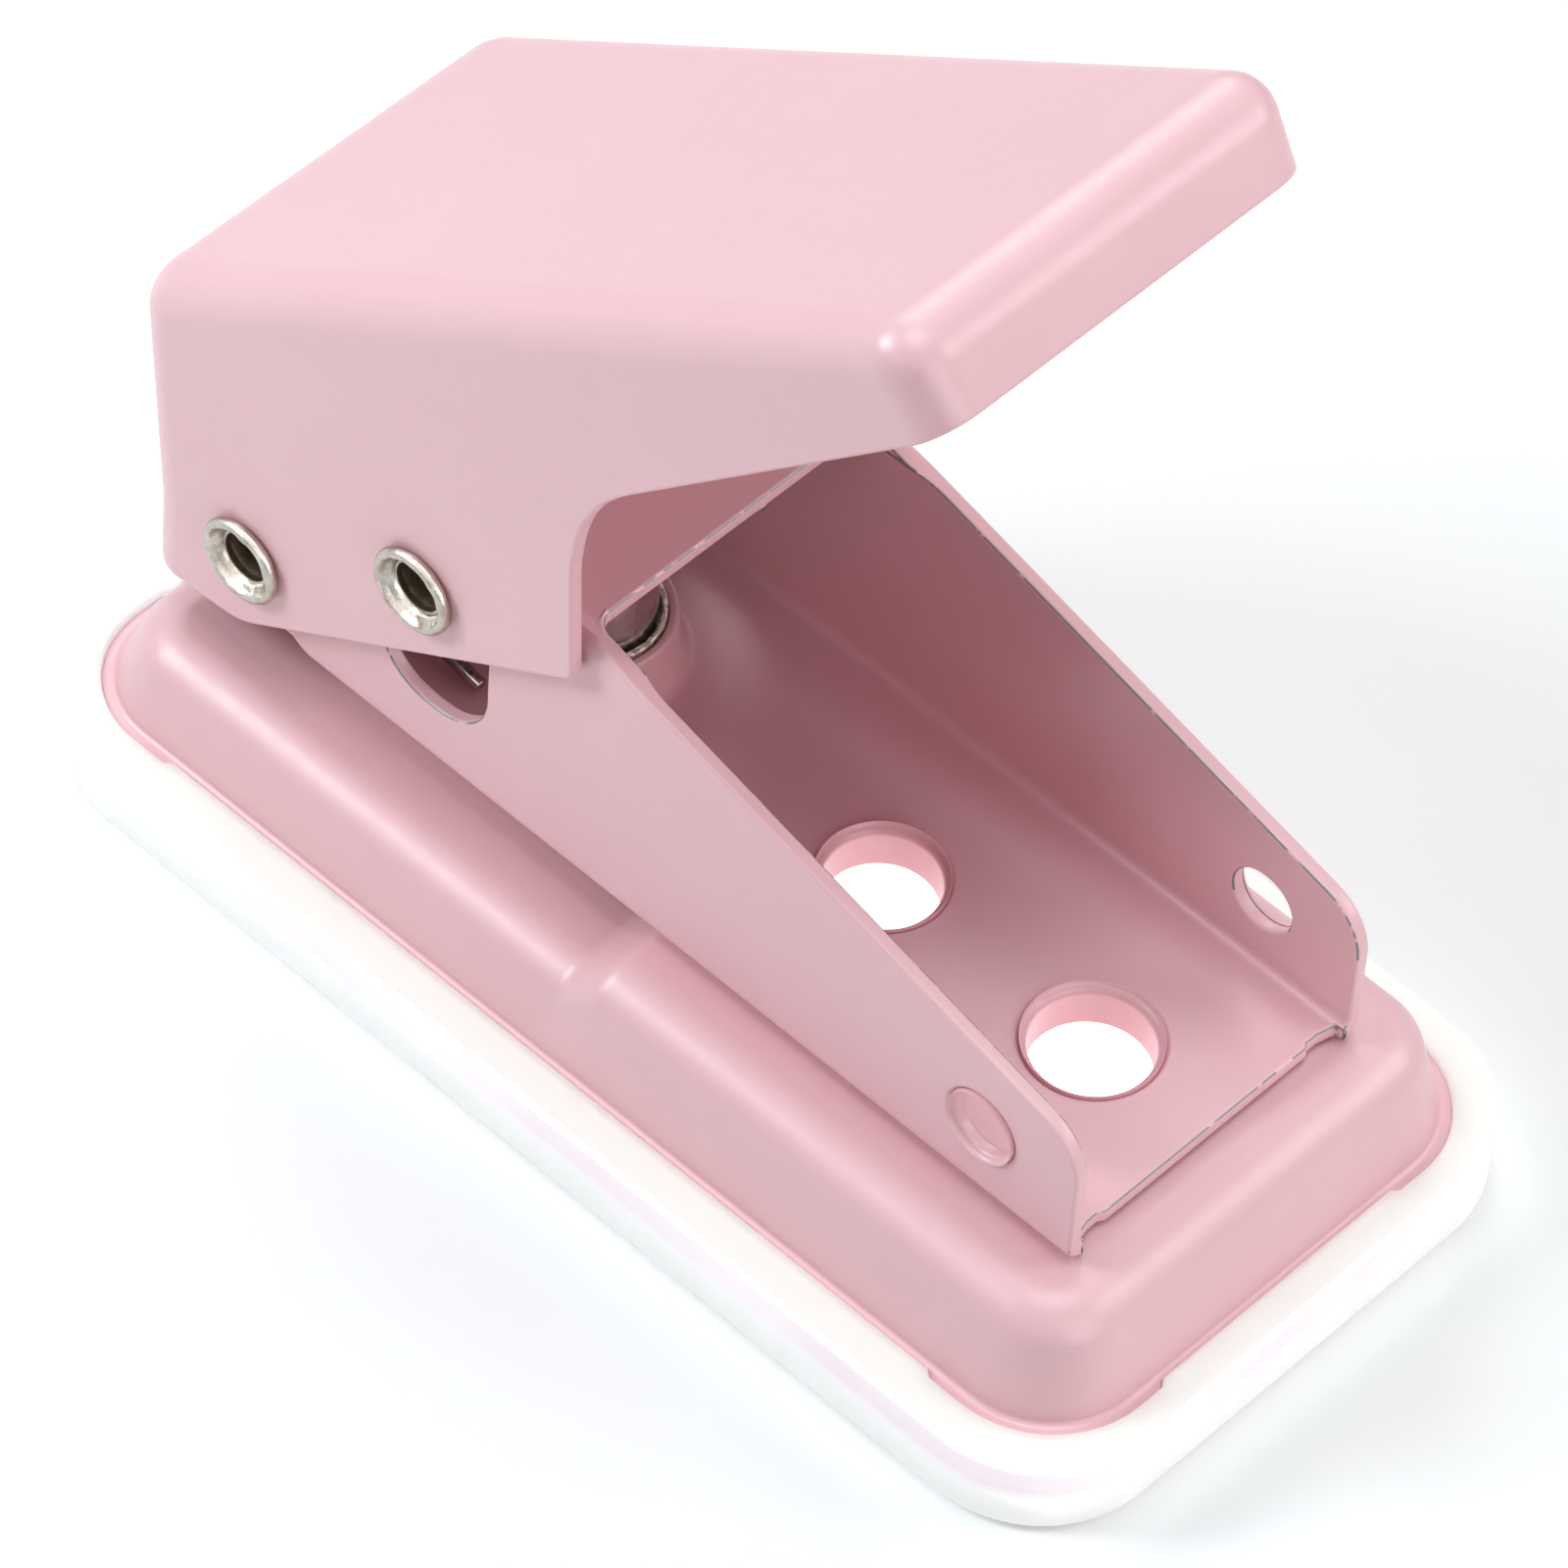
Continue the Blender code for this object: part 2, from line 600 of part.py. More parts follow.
def rivet_end():
    """(radius, distance from the middle) round one rolled head, from the shank to the bore."""
    seat = HANDLE_HALF_WIDTH + RIVET_SEAT_GAP
    half = RIVET_HEAD_THICKNESS / 2
    end = [(RIVET_SHANK, seat)]
    for step in range(7):
        angle = math.radians(-90 + 180 * step / 6)
        radius = RIVET_HEAD - half + half * math.cos(angle)
        end.append((radius, seat + half + half * math.sin(angle)))
    end.append((RIVET_SHANK + RIVET_LIP_WIDTH, seat + RIVET_HEAD_THICKNESS - RIVET_LIP_DROP))
    end.append((RIVET_BORE + RIVET_FUNNEL_WIDTH, seat + RIVET_FUNNEL_LIFT))
    end.append((RIVET_BORE, seat - RIVET_FUNNEL_DEPTH))
    return end


def hollow_rivet(name, material, at, parent=None):
    end = rivet_end()
    profile = [(radius, y) for radius, y in reversed(end)]
    profile += [(radius, -y) for radius, y in end]
    turned(name, profile, RIVET_STEPS, along_y=True, at=at, material=material, parent=parent)


def punch_pin(material, parent):
    """A round pin with a hollow-ground end, and a cross slot where the drive rivet passes through."""
    profile = [
        (0, PUNCH_TOP),
        (PUNCH_RADIUS - PUNCH_CHAMFER, PUNCH_TOP),
        (PUNCH_RADIUS, PUNCH_TOP - PUNCH_CHAMFER),
        (PUNCH_RADIUS, PUNCH_BOTTOM),
        (PUNCH_RADIUS - PUNCH_EDGE_WIDTH, PUNCH_BOTTOM + PUNCH_EDGE_RISE),
        (0, PUNCH_BOTTOM + PUNCH_HOLLOW),
    ]
    pin = turned("punch_pin", profile, material=material, parent=parent)
    drive = PIVOT + Matrix.Rotation(-HANDLE_TILT, 3, "Y") @ Vector((DRIVE_U, 0, DRIVE_W))
    half = RIVET_SHANK + PUNCH_SLOT_CLEARANCE
    low = (-PUNCH_SLOT_REAR, drive.z - half)
    high = (PUNCH_SLOT_FRONT, drive.z + half)
    slot = rounded_rectangle(low, high, 0.95 * half)
    through = 2 * PUNCH_RADIUS
    boolean(pin, plate("punch_slot_cutter", slot, -through, through, facing=SIDEWAYS, parent=parent))


def guide_bush(material):
    bottom = FRAME_BOTTOM + GAP
    profile = [
        (BUSH_BORE + BUSH_CHAMFER, BUSH_TOP),
        (BUSH_RADIUS - BUSH_CHAMFER, BUSH_TOP),
        (BUSH_RADIUS, BUSH_TOP - BUSH_CHAMFER),
        (BUSH_RADIUS, bottom),
        (BUSH_BORE, bottom),
        (BUSH_BORE, BUSH_TOP - BUSH_CHAMFER),
    ]
    turned("guide_bush", profile, at=(PUNCH_X, 0, 0), material=material)


def die_plate(material):
    top = REAR_TABLE - SHEET - GAP
    profile = [
        (DIE_BORE, top),
        (DIE_RADIUS - SMALL_ROUND, top),
        (DIE_RADIUS, top - SMALL_ROUND),
        (DIE_RADIUS, top - DIE_THICKNESS),
        (DIE_BORE, top - DIE_THICKNESS),
    ]
    turned("die_plate", profile, at=(PUNCH_X, 0, 0), material=material)


def return_spring(material):
    """One wire: a leg on the frame's floor, turns round the pivot rivet, a leg under the drive rivet."""
    def on_coil(angle, y):
        out = Vector((COIL_RADIUS * math.cos(angle), y, COIL_RADIUS * math.sin(angle)))
        return PIVOT + out

    start_angle = -math.pi / 2 - LOWER_LEG_DROP
    end_angle = math.pi / 2 + UPPER_LEG_RISE - 2 * math.pi * (COIL_FULL_TURNS + 1)
    turns = (start_angle - end_angle) / (2 * math.pi)
    steps = round(turns * COIL_STEPS_PER_TURN)
    lower = Vector((math.cos(LOWER_LEG_DROP), 0, -math.sin(LOWER_LEG_DROP)))
    upper = Vector((math.cos(UPPER_LEG_RISE), 0, math.sin(UPPER_LEG_RISE)))
    points = [on_coil(start_angle, LOWER_LEG_Y) + lower * LOWER_LEG_LENGTH]
    for step in range(steps + 1):
        share = step / steps
        angle = start_angle + (end_angle - start_angle) * share
        points.append(on_coil(angle, LOWER_LEG_Y - COIL_PITCH * turns * share))
    points.append(points[-1] + upper * UPPER_LEG_LENGTH)
    curve = bpy.data.curves.new("return_spring", "CURVE")
    curve.dimensions = "3D"
    curve.bevel_depth = WIRE_RADIUS
    curve.bevel_resolution = 2
    curve.use_fill_caps = True
    spline = curve.splines.new("POLY")
    spline.points.add(len(points) - 1)
    for point, place in zip(spline.points, points):
        point.co = (*place, 1)
    curve.materials.append(material)
    PARTS.objects.link(bpy.data.objects.new("return_spring", curve))


clear_scene()
PARTS = new_collection("one_hole_punch")
CUTTERS = new_collection("cutters", hidden=True)

pink = new_material("pink_paint", PINK_PAINT, 0.35)
white = new_material("tray_plastic", TRAY_WHITE, 0.45, transmission=0.3)
nickel = new_material("nickel_plate", NICKEL, 0.25, metallic=1.0)
steel = new_material("tool_steel", TOOL_STEEL, 0.3, metallic=1.0)
spring_steel = new_material("spring_steel", SPRING_STEEL, 0.3, metallic=1.0)

handle_pivot = new_empty("handle_pivot", PIVOT, (0, -HANDLE_TILT, 0))
punch_axis = new_empty("punch_axis", (PUNCH_X, 0, 0))
tray_slide = new_empty("tray_slide", (0, 0, 0))

chip_tray(white, tray_slide)
base_shell(pink)
die_plate(steel)
punch_frame(pink)
guide_bush(steel)
punch_pin(steel, punch_axis)
handle(pink, handle_pivot)
hollow_rivet("pivot_rivet", nickel, PIVOT)
hollow_rivet("drive_rivet", nickel, (DRIVE_U, 0, DRIVE_W), handle_pivot)
return_spring(spring_steel)
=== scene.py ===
"""Looks of the compact one-hole punch: detailed painted sheet metal, rivets, pin, spring and tray
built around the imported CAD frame, with procedural materials, a pale floor and soft studio light."""

import json
import math
import random

import bmesh
import bpy
from mathutils import Matrix, Vector, noise


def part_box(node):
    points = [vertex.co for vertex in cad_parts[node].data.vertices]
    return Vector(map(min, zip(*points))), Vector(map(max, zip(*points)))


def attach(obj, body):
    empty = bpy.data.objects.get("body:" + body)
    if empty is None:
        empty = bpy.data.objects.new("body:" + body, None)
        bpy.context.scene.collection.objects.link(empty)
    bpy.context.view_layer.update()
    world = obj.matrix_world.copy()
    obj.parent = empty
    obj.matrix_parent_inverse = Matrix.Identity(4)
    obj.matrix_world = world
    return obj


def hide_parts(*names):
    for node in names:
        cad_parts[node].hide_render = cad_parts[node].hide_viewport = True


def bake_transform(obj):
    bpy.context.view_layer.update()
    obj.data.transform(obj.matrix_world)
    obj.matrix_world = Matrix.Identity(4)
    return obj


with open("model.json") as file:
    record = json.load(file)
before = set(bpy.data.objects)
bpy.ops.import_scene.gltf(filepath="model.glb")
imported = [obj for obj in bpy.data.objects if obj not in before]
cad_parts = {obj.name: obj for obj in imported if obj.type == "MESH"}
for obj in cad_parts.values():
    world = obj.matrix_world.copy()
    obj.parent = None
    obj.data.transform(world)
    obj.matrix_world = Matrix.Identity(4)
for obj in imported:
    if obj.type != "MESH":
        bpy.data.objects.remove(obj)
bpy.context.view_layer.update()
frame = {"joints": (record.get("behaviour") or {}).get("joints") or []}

MM = 0.001
SHEET = 1.2 * MM
RIVET_HOLE = 2.15 * MM
THROUGH = 60 * MM

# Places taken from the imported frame
_, TRAY_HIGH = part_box("chip_tray")
BASE_LOW, BASE_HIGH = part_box("base_shell")
FRAME_LOW, FRAME_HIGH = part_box("punch_frame")
PIN_LOW, PIN_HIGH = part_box("punch_pin")
BUSH_LOW, BUSH_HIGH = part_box("guide_bush")
DIE_LOW, DIE_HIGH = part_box("die_plate")
_, RIVET_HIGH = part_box("pivot_rivet")
DRIVE_LOW, DRIVE_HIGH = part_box("drive_rivet")
PRESS = next(joint for joint in frame["joints"] if joint["name"] == "handle_press")
PIVOT = Vector(PRESS["pos_m"])
DRIVE = (DRIVE_LOW + DRIVE_HIGH) / 2
PUNCH_X = (PIN_LOW.x + PIN_HIGH.x) / 2
HANDLE_TILT = math.radians(35.34)
TO_HANDLE = Matrix.Translation(PIVOT) @ Matrix.Rotation(-HANDLE_TILT, 4, "Y")

FLAT = Matrix.Identity(4)
SIDEWAYS = Matrix.Rotation(math.pi / 2, 4, "X")
ENDWAYS = Matrix(((0, 0, 1, 0), (1, 0, 0, 0), (0, 1, 0, 0), (0, 0, 0, 1)))


# Mesh tools

def rounded(corners, degrees_per_step=6):
    """A closed outline through (a, b, radius) corners, each turned into an arc of its radius."""
    outline = []
    for i, (a, b, radius) in enumerate(corners):
        here = Vector((a, b))
        to_last = (Vector(corners[i - 1][:2]) - here).normalized()
        to_next = (Vector(corners[(i + 1) % len(corners)][:2]) - here).normalized()
        if radius == 0:
            outline.append(here)
            continue
        half = to_last.angle(to_next) / 2
        centre = here + (to_last + to_next).normalized() * (radius / math.sin(half))
        spoke = here + to_last * (radius / math.tan(half)) - centre
        turn = math.copysign(math.pi - 2 * half, -to_last.cross(to_next))
        steps = max(3, math.ceil(math.degrees(abs(turn)) / degrees_per_step))
        for step in range(steps + 1):
            outline.append(centre + Matrix.Rotation(turn * step / steps, 2) @ spoke)
    return outline


def rounded_rectangle(low, high, radius):
    (a0, b0), (a1, b1) = low, high
    return rounded([(a0, b0, radius), (a1, b0, radius), (a1, b1, radius), (a0, b1, radius)])


def arc(centre, radius, start, end, steps):
    """Points from one angle to another, in degrees, both ends included."""
    points = []
    for step in range(steps + 1):
        angle = math.radians(start + (end - start) * step / steps)
        points.append((centre[0] + radius * math.cos(angle), centre[1] + radius * math.sin(angle)))
    return points


def in_order(mesh):
    """The same mesh with points and faces sorted by place, since Blender may number them differently
    on each run, and a Boolean can give another result when they are numbered differently."""
    points = [tuple(vert.co) for vert in mesh.vertices]
    order = sorted(range(len(points)), key=points.__getitem__)
    number = {old: new for new, old in enumerate(order)}
    faces = []
    for polygon in mesh.polygons:
        ring = [number[i] for i in polygon.vertices]
        first = ring.index(min(ring))
        faces.append((ring[first:] + ring[:first], polygon.material_index))
    faces.sort()
    settled = bpy.data.meshes.new(mesh.name)
    settled.from_pydata([points[i] for i in order], [], [ring for ring, _ in faces])
    for material in mesh.materials:
        settled.materials.append(material)
    settled.polygons.foreach_set("material_index", [slot for _, slot in faces])
    settled.update()
    return settled


def new_object(name, shape):
    """An object from a bmesh, which is freed."""
    mesh = bpy.data.meshes.new(name)
    shape.to_mesh(mesh)
    shape.free()
    obj = bpy.data.objects.new(name, in_order(mesh))
    bpy.context.scene.collection.objects.link(obj)
    return obj


def plate(name, outline, low, high, facing=FLAT, place=FLAT):
    """A flat outline with thickness, from low to high along the way it faces."""
    shape = bmesh.new()
    verts = [shape.verts.new((a, b, 0)) for a, b in outline]
    face = shape.faces.new(verts)
    grown = bmesh.ops.extrude_face_region(shape, geom=[face])
    top = [item for item in grown["geom"] if isinstance(item, bmesh.types.BMVert)]
    bmesh.ops.translate(shape, vec=(0, 0, high - low), verts=top)
    along = -high if facing is SIDEWAYS else low
    bmesh.ops.translate(shape, vec=(0, 0, along), verts=shape.verts)
    bmesh.ops.transform(shape, matrix=place @ facing, verts=shape.verts)
    bmesh.ops.recalc_face_normals(shape, faces=shape.faces)
    return new_object(name, shape)


def turned(name, profile, steps=96, place=FLAT, closed=True):
    """(radius, height) points turned about the local Z axis."""
    shape = bmesh.new()
    verts = [shape.verts.new((radius, 0, height)) for radius, height in profile]
    edges = [shape.edges.new(pair) for pair in zip(verts, verts[1:])]
    if closed:
        edges.append(shape.edges.new((verts[-1], verts[0])))
    bmesh.ops.spin(
        shape, geom=verts + edges, axis=(0, 0, 1), cent=(0, 0, 0), steps=steps,
        angle=2 * math.pi, use_merge=True,
    )
    bmesh.ops.remove_doubles(shape, verts=shape.verts, dist=1e-7)
    bmesh.ops.transform(shape, matrix=place, verts=shape.verts)
    bmesh.ops.recalc_face_normals(shape, faces=shape.faces)
    return new_object(name, shape)


def bake(obj):
    """Turns an object's modifiers into its mesh."""
    bpy.context.view_layer.update()
    graph = bpy.context.evaluated_depsgraph_get()
    mesh = bpy.data.meshes.new_from_object(obj.evaluated_get(graph))
    obj.modifiers.clear()
    obj.data = in_order(mesh)
    return obj


def combine(obj, other, operation="DIFFERENCE"):
    """One Boolean, baked in, and the other object removed."""
    modifier = obj.modifiers.new(operation, "BOOLEAN")
    modifier.object = other
    modifier.operation = operation
    modifier.solver = "EXACT"
    bake(obj)
    bpy.data.objects.remove(other)
    shape = bmesh.new()
    shape.from_mesh(obj.data)
    bmesh.ops.remove_doubles(shape, verts=shape.verts, dist=2e-6)
    bmesh.ops.dissolve_degenerate(shape, edges=shape.edges, dist=1e-6)
    shape.to_mesh(obj.data)
    shape.free()
    obj.data = in_order(obj.data)
    return obj


def drill(obj, radius, low, high, place, steps=72):
    profile = [(0, high), (radius, high), (radius, low), (0, low)]
    return combine(obj, turned("drill", profile, steps, place, closed=False))


def soften(obj, width, segments=3, angle=38, wear_and_shade=False):
    """Rounds the cut edges, on their own material when wear_and_shade is set, for bare metal and painted
    shade along them.
    """
    bevel = obj.modifiers.new("edges", "BEVEL")
    bevel.width = width
    bevel.segments = segments
    bevel.limit_method = "ANGLE"
    bevel.angle_limit = math.radians(angle)
    bevel.use_clamp_overlap = False
    bevel.loop_slide = False
    bevel.miter_outer = "MITER_ARC"
    bevel.material = 1 if wear_and_shade else -1
    return obj


def keep_wear_and_shade_strips(obj, gets_wear_and_shade):
    """Keeps the grey of wear and painted shade only on the middle strip of each rounded edge, and only
    where gets_wear_and_shade says so.
    """
    shape = bmesh.new()
    shape.from_mesh(obj.data)
    middle = [
        face for face in shape.faces
        if face.material_index == 1 and gets_wear_and_shade(face.calc_center_median())
        and sum(other.material_index == 0 for edge in face.edges for other in edge.link_faces) == 0
    ]
    for face in shape.faces:
        face.material_index = 0
    for face in middle:
        face.material_index = 1
    shape.to_mesh(obj.data)
    shape.free()


def shade(obj, material, wear_and_shade=None, gets_wear_and_shade=None):
    obj.data.materials.clear()
    obj.data.materials.append(material)
    if wear_and_shade:
        obj.data.materials.append(wear_and_shade)
    bake(obj)
    if gets_wear_and_shade:
        keep_wear_and_shade_strips(obj, gets_wear_and_shade)
    for polygon in obj.data.polygons:
        polygon.use_smooth = True
    obj.data.set_sharp_from_angle(angle=math.radians(42))
    weighted = obj.modifiers.new("normals", "WEIGHTED_NORMAL")
    weighted.keep_sharp = True
    weighted.weight = 80
    return obj


# Materials

class Nodes:
    """A short way to build a node tree."""

    def __init__(self, name):
        self.material = bpy.data.materials.new(name)
        self.material.use_nodes = True
        self.tree = self.material.node_tree
        self.shader = self.tree.nodes["Principled BSDF"]
        self.place = self.add("ShaderNodeTexCoord").outputs["Object"]

    def add(self, kind, inputs=None, **settings):
        node = self.tree.nodes.new(kind)
        for key, value in settings.items():
            setattr(node, key, value)
        for key, value in (inputs or {}).items():
            self.link(value, node.inputs[key])
        return node

    def link(self, value, socket):
        if isinstance(value, bpy.types.NodeSocket):
            self.tree.links.new(value, socket)
        else:
            socket.default_value = value

    def set(self, **inputs):
        for key, value in inputs.items():
            self.link(value, self.shader.inputs[key.replace("_", " ")])

    def noise(self, scale, detail=2.0, roughness=0.5, vector=None):
        node = self.add(
            "ShaderNodeTexNoise",
            {"Vector": vector or self.place, "Scale": scale, "Detail": detail, "Roughness": roughness},
        )
        return node.outputs["Fac"]

    def stretched(self, scale):
        mapping = self.add("ShaderNodeMapping", {"Vector": self.place, "Scale": scale})
        return mapping.outputs["Vector"]

    def remap(self, value, low, high, to_low=0.0, to_high=1.0):
        node = self.add(
            "ShaderNodeMapRange",
            {"Value": value, "From Min": low, "From Max": high, "To Min": to_low, "To Max": to_high},
        )
        return node.outputs["Result"]

    def maths(self, operation, a, b):
        node = self.add("ShaderNodeMath", operation=operation)
        self.link(a, node.inputs[0])
        self.link(b, node.inputs[1])
        return node.outputs["Value"]

    def mix(self, share, a, b):
        node = self.add("ShaderNodeMix", data_type="RGBA")
        for key, value in (("Factor", share), ("A", a), ("B", b)):
            socket = [s for s in node.inputs if s.name == key and s.enabled][0]
            self.link(value, socket)
        return [s for s in node.outputs if s.enabled][0]

    def bump(self, height, distance, strength=1.0, normal=None):
        node = self.add("ShaderNodeBump", {"Height": height, "Strength": strength, "Distance": distance})
        if normal:
            self.link(normal, node.inputs["Normal"])
        return node.outputs["Normal"]


def colour(red, green, blue):
    """An sRGB colour in 0 to 255 as the linear colour that shaders take."""
    linear = [((c / 255 + 0.055) / 1.055) ** 2.4 if c > 10 else c / 255 / 12.92 for c in (red, green, blue)]
    return (*linear, 1.0)


PINK = (0.760, 0.450, 0.490, 1)
PINK_LIGHT = (0.780, 0.470, 0.508, 1)
PINK_DEEP = (0.740, 0.430, 0.470, 1)
# Grey for edges: bare metal where paint is rubbed off, and painted shade on rounded edges.
BARE_AND_SHADED_EDGE = colour(118, 114, 120)


def painted(name, wear_and_shade=0.0):
    """Satin powder paint: a faint mottle and orange peel, and with wear_and_shade, grey patches that are
    bare metal on rubbed edges and painted shade on shaded ones.
    """
    n = Nodes(name)
    mottle = n.noise(55, 3, 0.6)
    body = n.mix(n.remap(mottle, 0.3, 0.7), PINK_DEEP, PINK_LIGHT)
    body = n.mix(0.55, body, PINK)
    peel = n.noise(2600, 2, 0.55)
    ripple = n.noise(420, 2, 0.5)
    gloss = n.remap(n.noise(900, 3), 0.3, 0.7, 0.36, 0.46)
    normal = n.bump(peel, 0.00001, 0.6)
    normal = n.bump(ripple, 0.00003, 0.3, normal)
    metallic = 0.0
    # Grey patches broken up by noise: bare metal on rubbed edges, painted shade on rounded edges in shade.
    if wear_and_shade:
        thin = n.remap(n.noise(520, 4, 0.6), 0.56 - 0.2 * wear_and_shade, 0.62 - 0.2 * wear_and_shade)
        body = n.mix(thin, body, BARE_AND_SHADED_EDGE)
        metallic = n.maths("MULTIPLY", thin, 0.35)
        gloss = n.mix(thin, gloss, (0.5, 0.5, 0.5, 1))
    n.set(Base_Color=body, Roughness=gloss, Normal=normal, Metallic=metallic)
    shader = n.shader.inputs
    shader["Specular IOR Level"].default_value = 0.6
    shader["Coat Weight"].default_value = 0.3
    shader["Coat Roughness"].default_value = 0.34
    shader["Coat IOR"].default_value = 1.6
    return n.material


def nickel():
    """Bright plate over a pressed eyelet: fine scratches, uneven gloss and a warm cast in the hollows."""
    n = Nodes("nickel_plate")
    blotch = n.noise(650, 4, 0.65)
    tone = n.mix(n.remap(blotch, 0.35, 0.7), colour(168, 158, 146), colour(212, 208, 200))
    scratch = n.noise(1.0, 5, 0.7, n.stretched((5200, 900, 5200)))
    n.set(
        Base_Color=tone,
        Metallic=1.0,
        Roughness=n.remap(n.noise(1500, 3), 0.3, 0.7, 0.10, 0.24),
        Normal=n.bump(scratch, 0.00004, 0.6, n.bump(blotch, 0.00014, 0.6)),
    )
    return n.material


def bore_painted_shade():
    """Painted shade for the inside of a hollow rivet: a dull brown, darker than the plate."""
    n = Nodes("bore_painted_shade")
    stain = n.noise(900, 4, 0.6)
    n.set(
        Base_Color=n.mix(n.remap(stain, 0.35, 0.65), colour(92, 78, 66), colour(150, 134, 116)),
        Metallic=0.85,
        Roughness=n.remap(stain, 0.3, 0.7, 0.5, 0.3),
        Normal=n.bump(stain, 0.00006, 0.5),
    )
    return n.material


def ground_steel(name, light, dark, along, roughness):
    """Steel with a drawn or ground grain, stretched along one direction."""
    n = Nodes(name)
    grain = n.noise(1.0, 5, 0.6, n.stretched(along))
    cloud = n.noise(240, 3)
    n.set(
        Base_Color=n.mix(n.remap(cloud, 0.35, 0.65), dark, light),
        Metallic=1.0,
        Roughness=n.remap(grain, 0.3, 0.7, roughness - 0.08, roughness + 0.1),
        Normal=n.bump(grain, 0.00002, 0.55),
    )
    return n.material


def burred_steel():
    """The guide bush's worked rim: bright metal with torn, dark hollows."""
    n = Nodes("burred_steel")
    tear = n.noise(1900, 5, 0.7)
    n.set(
        Base_Color=n.mix(n.remap(tear, 0.4, 0.6), colour(150, 126, 108), colour(248, 240, 228)),
        Metallic=0.8,
        Roughness=n.remap(tear, 0.3, 0.7, 0.5, 0.2),
        Normal=n.bump(tear, 0.0002, 0.9),
    )
    return n.material


def soft_plastic():
    """Milky translucent plastic: cream above, painted lilac shade high on its sides, fine moulding texture.

    It glows faintly, and more in the well: painted light standing in for the light that a pale desk sends
    up through it.
    """
    n = Nodes("tray_plastic")
    split = n.add("ShaderNodeSeparateXYZ", {"Vector": n.place})
    height = split.outputs["Z"]
    # Painted shade: lilac between about 3 and 6.8 mm up the sides, for the darker look of the thicker rim.
    painted_rim_shade = n.maths(
        "MULTIPLY",
        n.remap(height, 0.0030, 0.0044),
        n.remap(height, 0.0068, 0.0062),
    )
    drift = n.remap(n.noise(38, 2), 0.35, 0.65, 0.4, 0.9)
    body = n.mix(n.maths("MULTIPLY", painted_rim_shade, drift), colour(252, 250, 249), colour(224, 209, 219))
    body = n.mix(n.remap(height, 0.00665, 0.00685), body, colour(252, 246, 237))
    n.set(
        Base_Color=body,
        Roughness=n.remap(n.noise(800, 2), 0.3, 0.7, 0.38, 0.48),
        Normal=n.bump(n.noise(1600, 3), 0.00002, 0.3),
    )
    # Painted light: emission 0.13 everywhere and 0.8 on the well floor, a glow in place of light coming up
    # through the plastic.
    across = n.maths("LESS_THAN", n.maths("ABSOLUTE", split.outputs["Y"], 0.0), 0.0205)
    along = n.maths("LESS_THAN", n.maths("ABSOLUTE", split.outputs["X"], 0.0), 0.0460)
    painted_glow_in_well = n.maths("MULTIPLY", n.maths("MULTIPLY", across, along), n.remap(height, 0.0036, 0.0030))
    n.set(Emission_Color=(1.0, 0.99, 0.985, 1), Emission_Strength=n.remap(painted_glow_in_well, 0, 1, 0.13, 0.8))
    shader = n.shader.inputs
    shader["Subsurface Weight"].default_value = 1.0
    shader["Subsurface Radius"].default_value = (1.0, 0.9, 0.95)
    shader["Subsurface Scale"].default_value = 0.004
    shader["Transmission Weight"].default_value = 0.12
    shader["IOR"].default_value = 1.45
    return n.material


def floor_material():
    n = Nodes("pale_floor")
    n.set(
        Base_Color=n.mix(n.noise(9, 2), colour(250, 250, 250), colour(246, 246, 246)),
        Roughness=0.85,
        Normal=n.bump(n.noise(500, 2), 0.00005, 0.1),
    )
    n.shader.inputs["Specular IOR Level"].default_value = 0.2
    return n.material


PAINT = painted("pink_paint")
# Grey-edged paint: bare metal on rubbed edges, painted shade on rounded edges in shade.
WORN_AND_SHADED_PAINT = painted("pink_paint_wear_and_shade", wear_and_shade=0.8)
NICKEL = nickel()
BORE_PAINTED_SHADE = bore_painted_shade()
PIN_STEEL = ground_steel(
    "pin_steel", colour(206, 202, 202), colour(150, 144, 146), (9000, 9000, 60), 0.22
)
DIE_STEEL = ground_steel(
    "die_steel", colour(170, 168, 168), colour(120, 118, 120), (300, 6000, 300), 0.35
)
WIRE_STEEL = ground_steel(
    "spring_wire", colour(196, 192, 188), colour(128, 120, 118), (3000, 400, 3000), 0.22
)
BURR = burred_steel()
TRAY_PLASTIC = soft_plastic()


# The base shell

BASE_CENTRE_X = (BASE_LOW.x + BASE_HIGH.x) / 2
BASE_STRAIGHT_X = 40.0 * MM
BASE_STRAIGHT_Y = 14.3 * MM
BASE_CORNER = BASE_HIGH.x - BASE_CENTRE_X - BASE_STRAIGHT_X
LIP_TOP = BASE_LOW.z + SHEET
FRONT_TABLE = BASE_HIGH.z
REAR_TABLE = DIE_HIGH.z + 1.45 * MM
STEP_HALF_LENGTH = 2.2 * MM
LIP_LUG = 0.45 * MM
FOOT_INSET = 1.0 * MM
FOOT_RISE = 0.5 * MM
SHOULDER_INSET = 2.2 * MM
SHOULDER_RADIUS = 4.0 * MM
SHOULDER_START = 158
FLOOR_HOLES = ((9.6 * MM, 4.2 * MM), (29.2 * MM, 4.45 * MM))


def smooth(t):
    t = min(max(t, 0), 1)
    return t * t * (3 - 2 * t)


def table_height(x):
    """Top of the base along its length: a low rear table, a smooth step, a higher front."""
    t = (x + STEP_HALF_LENGTH) / (2 * STEP_HALF_LENGTH)
    return REAR_TABLE + (FRONT_TABLE - REAR_TABLE) * smooth(t)


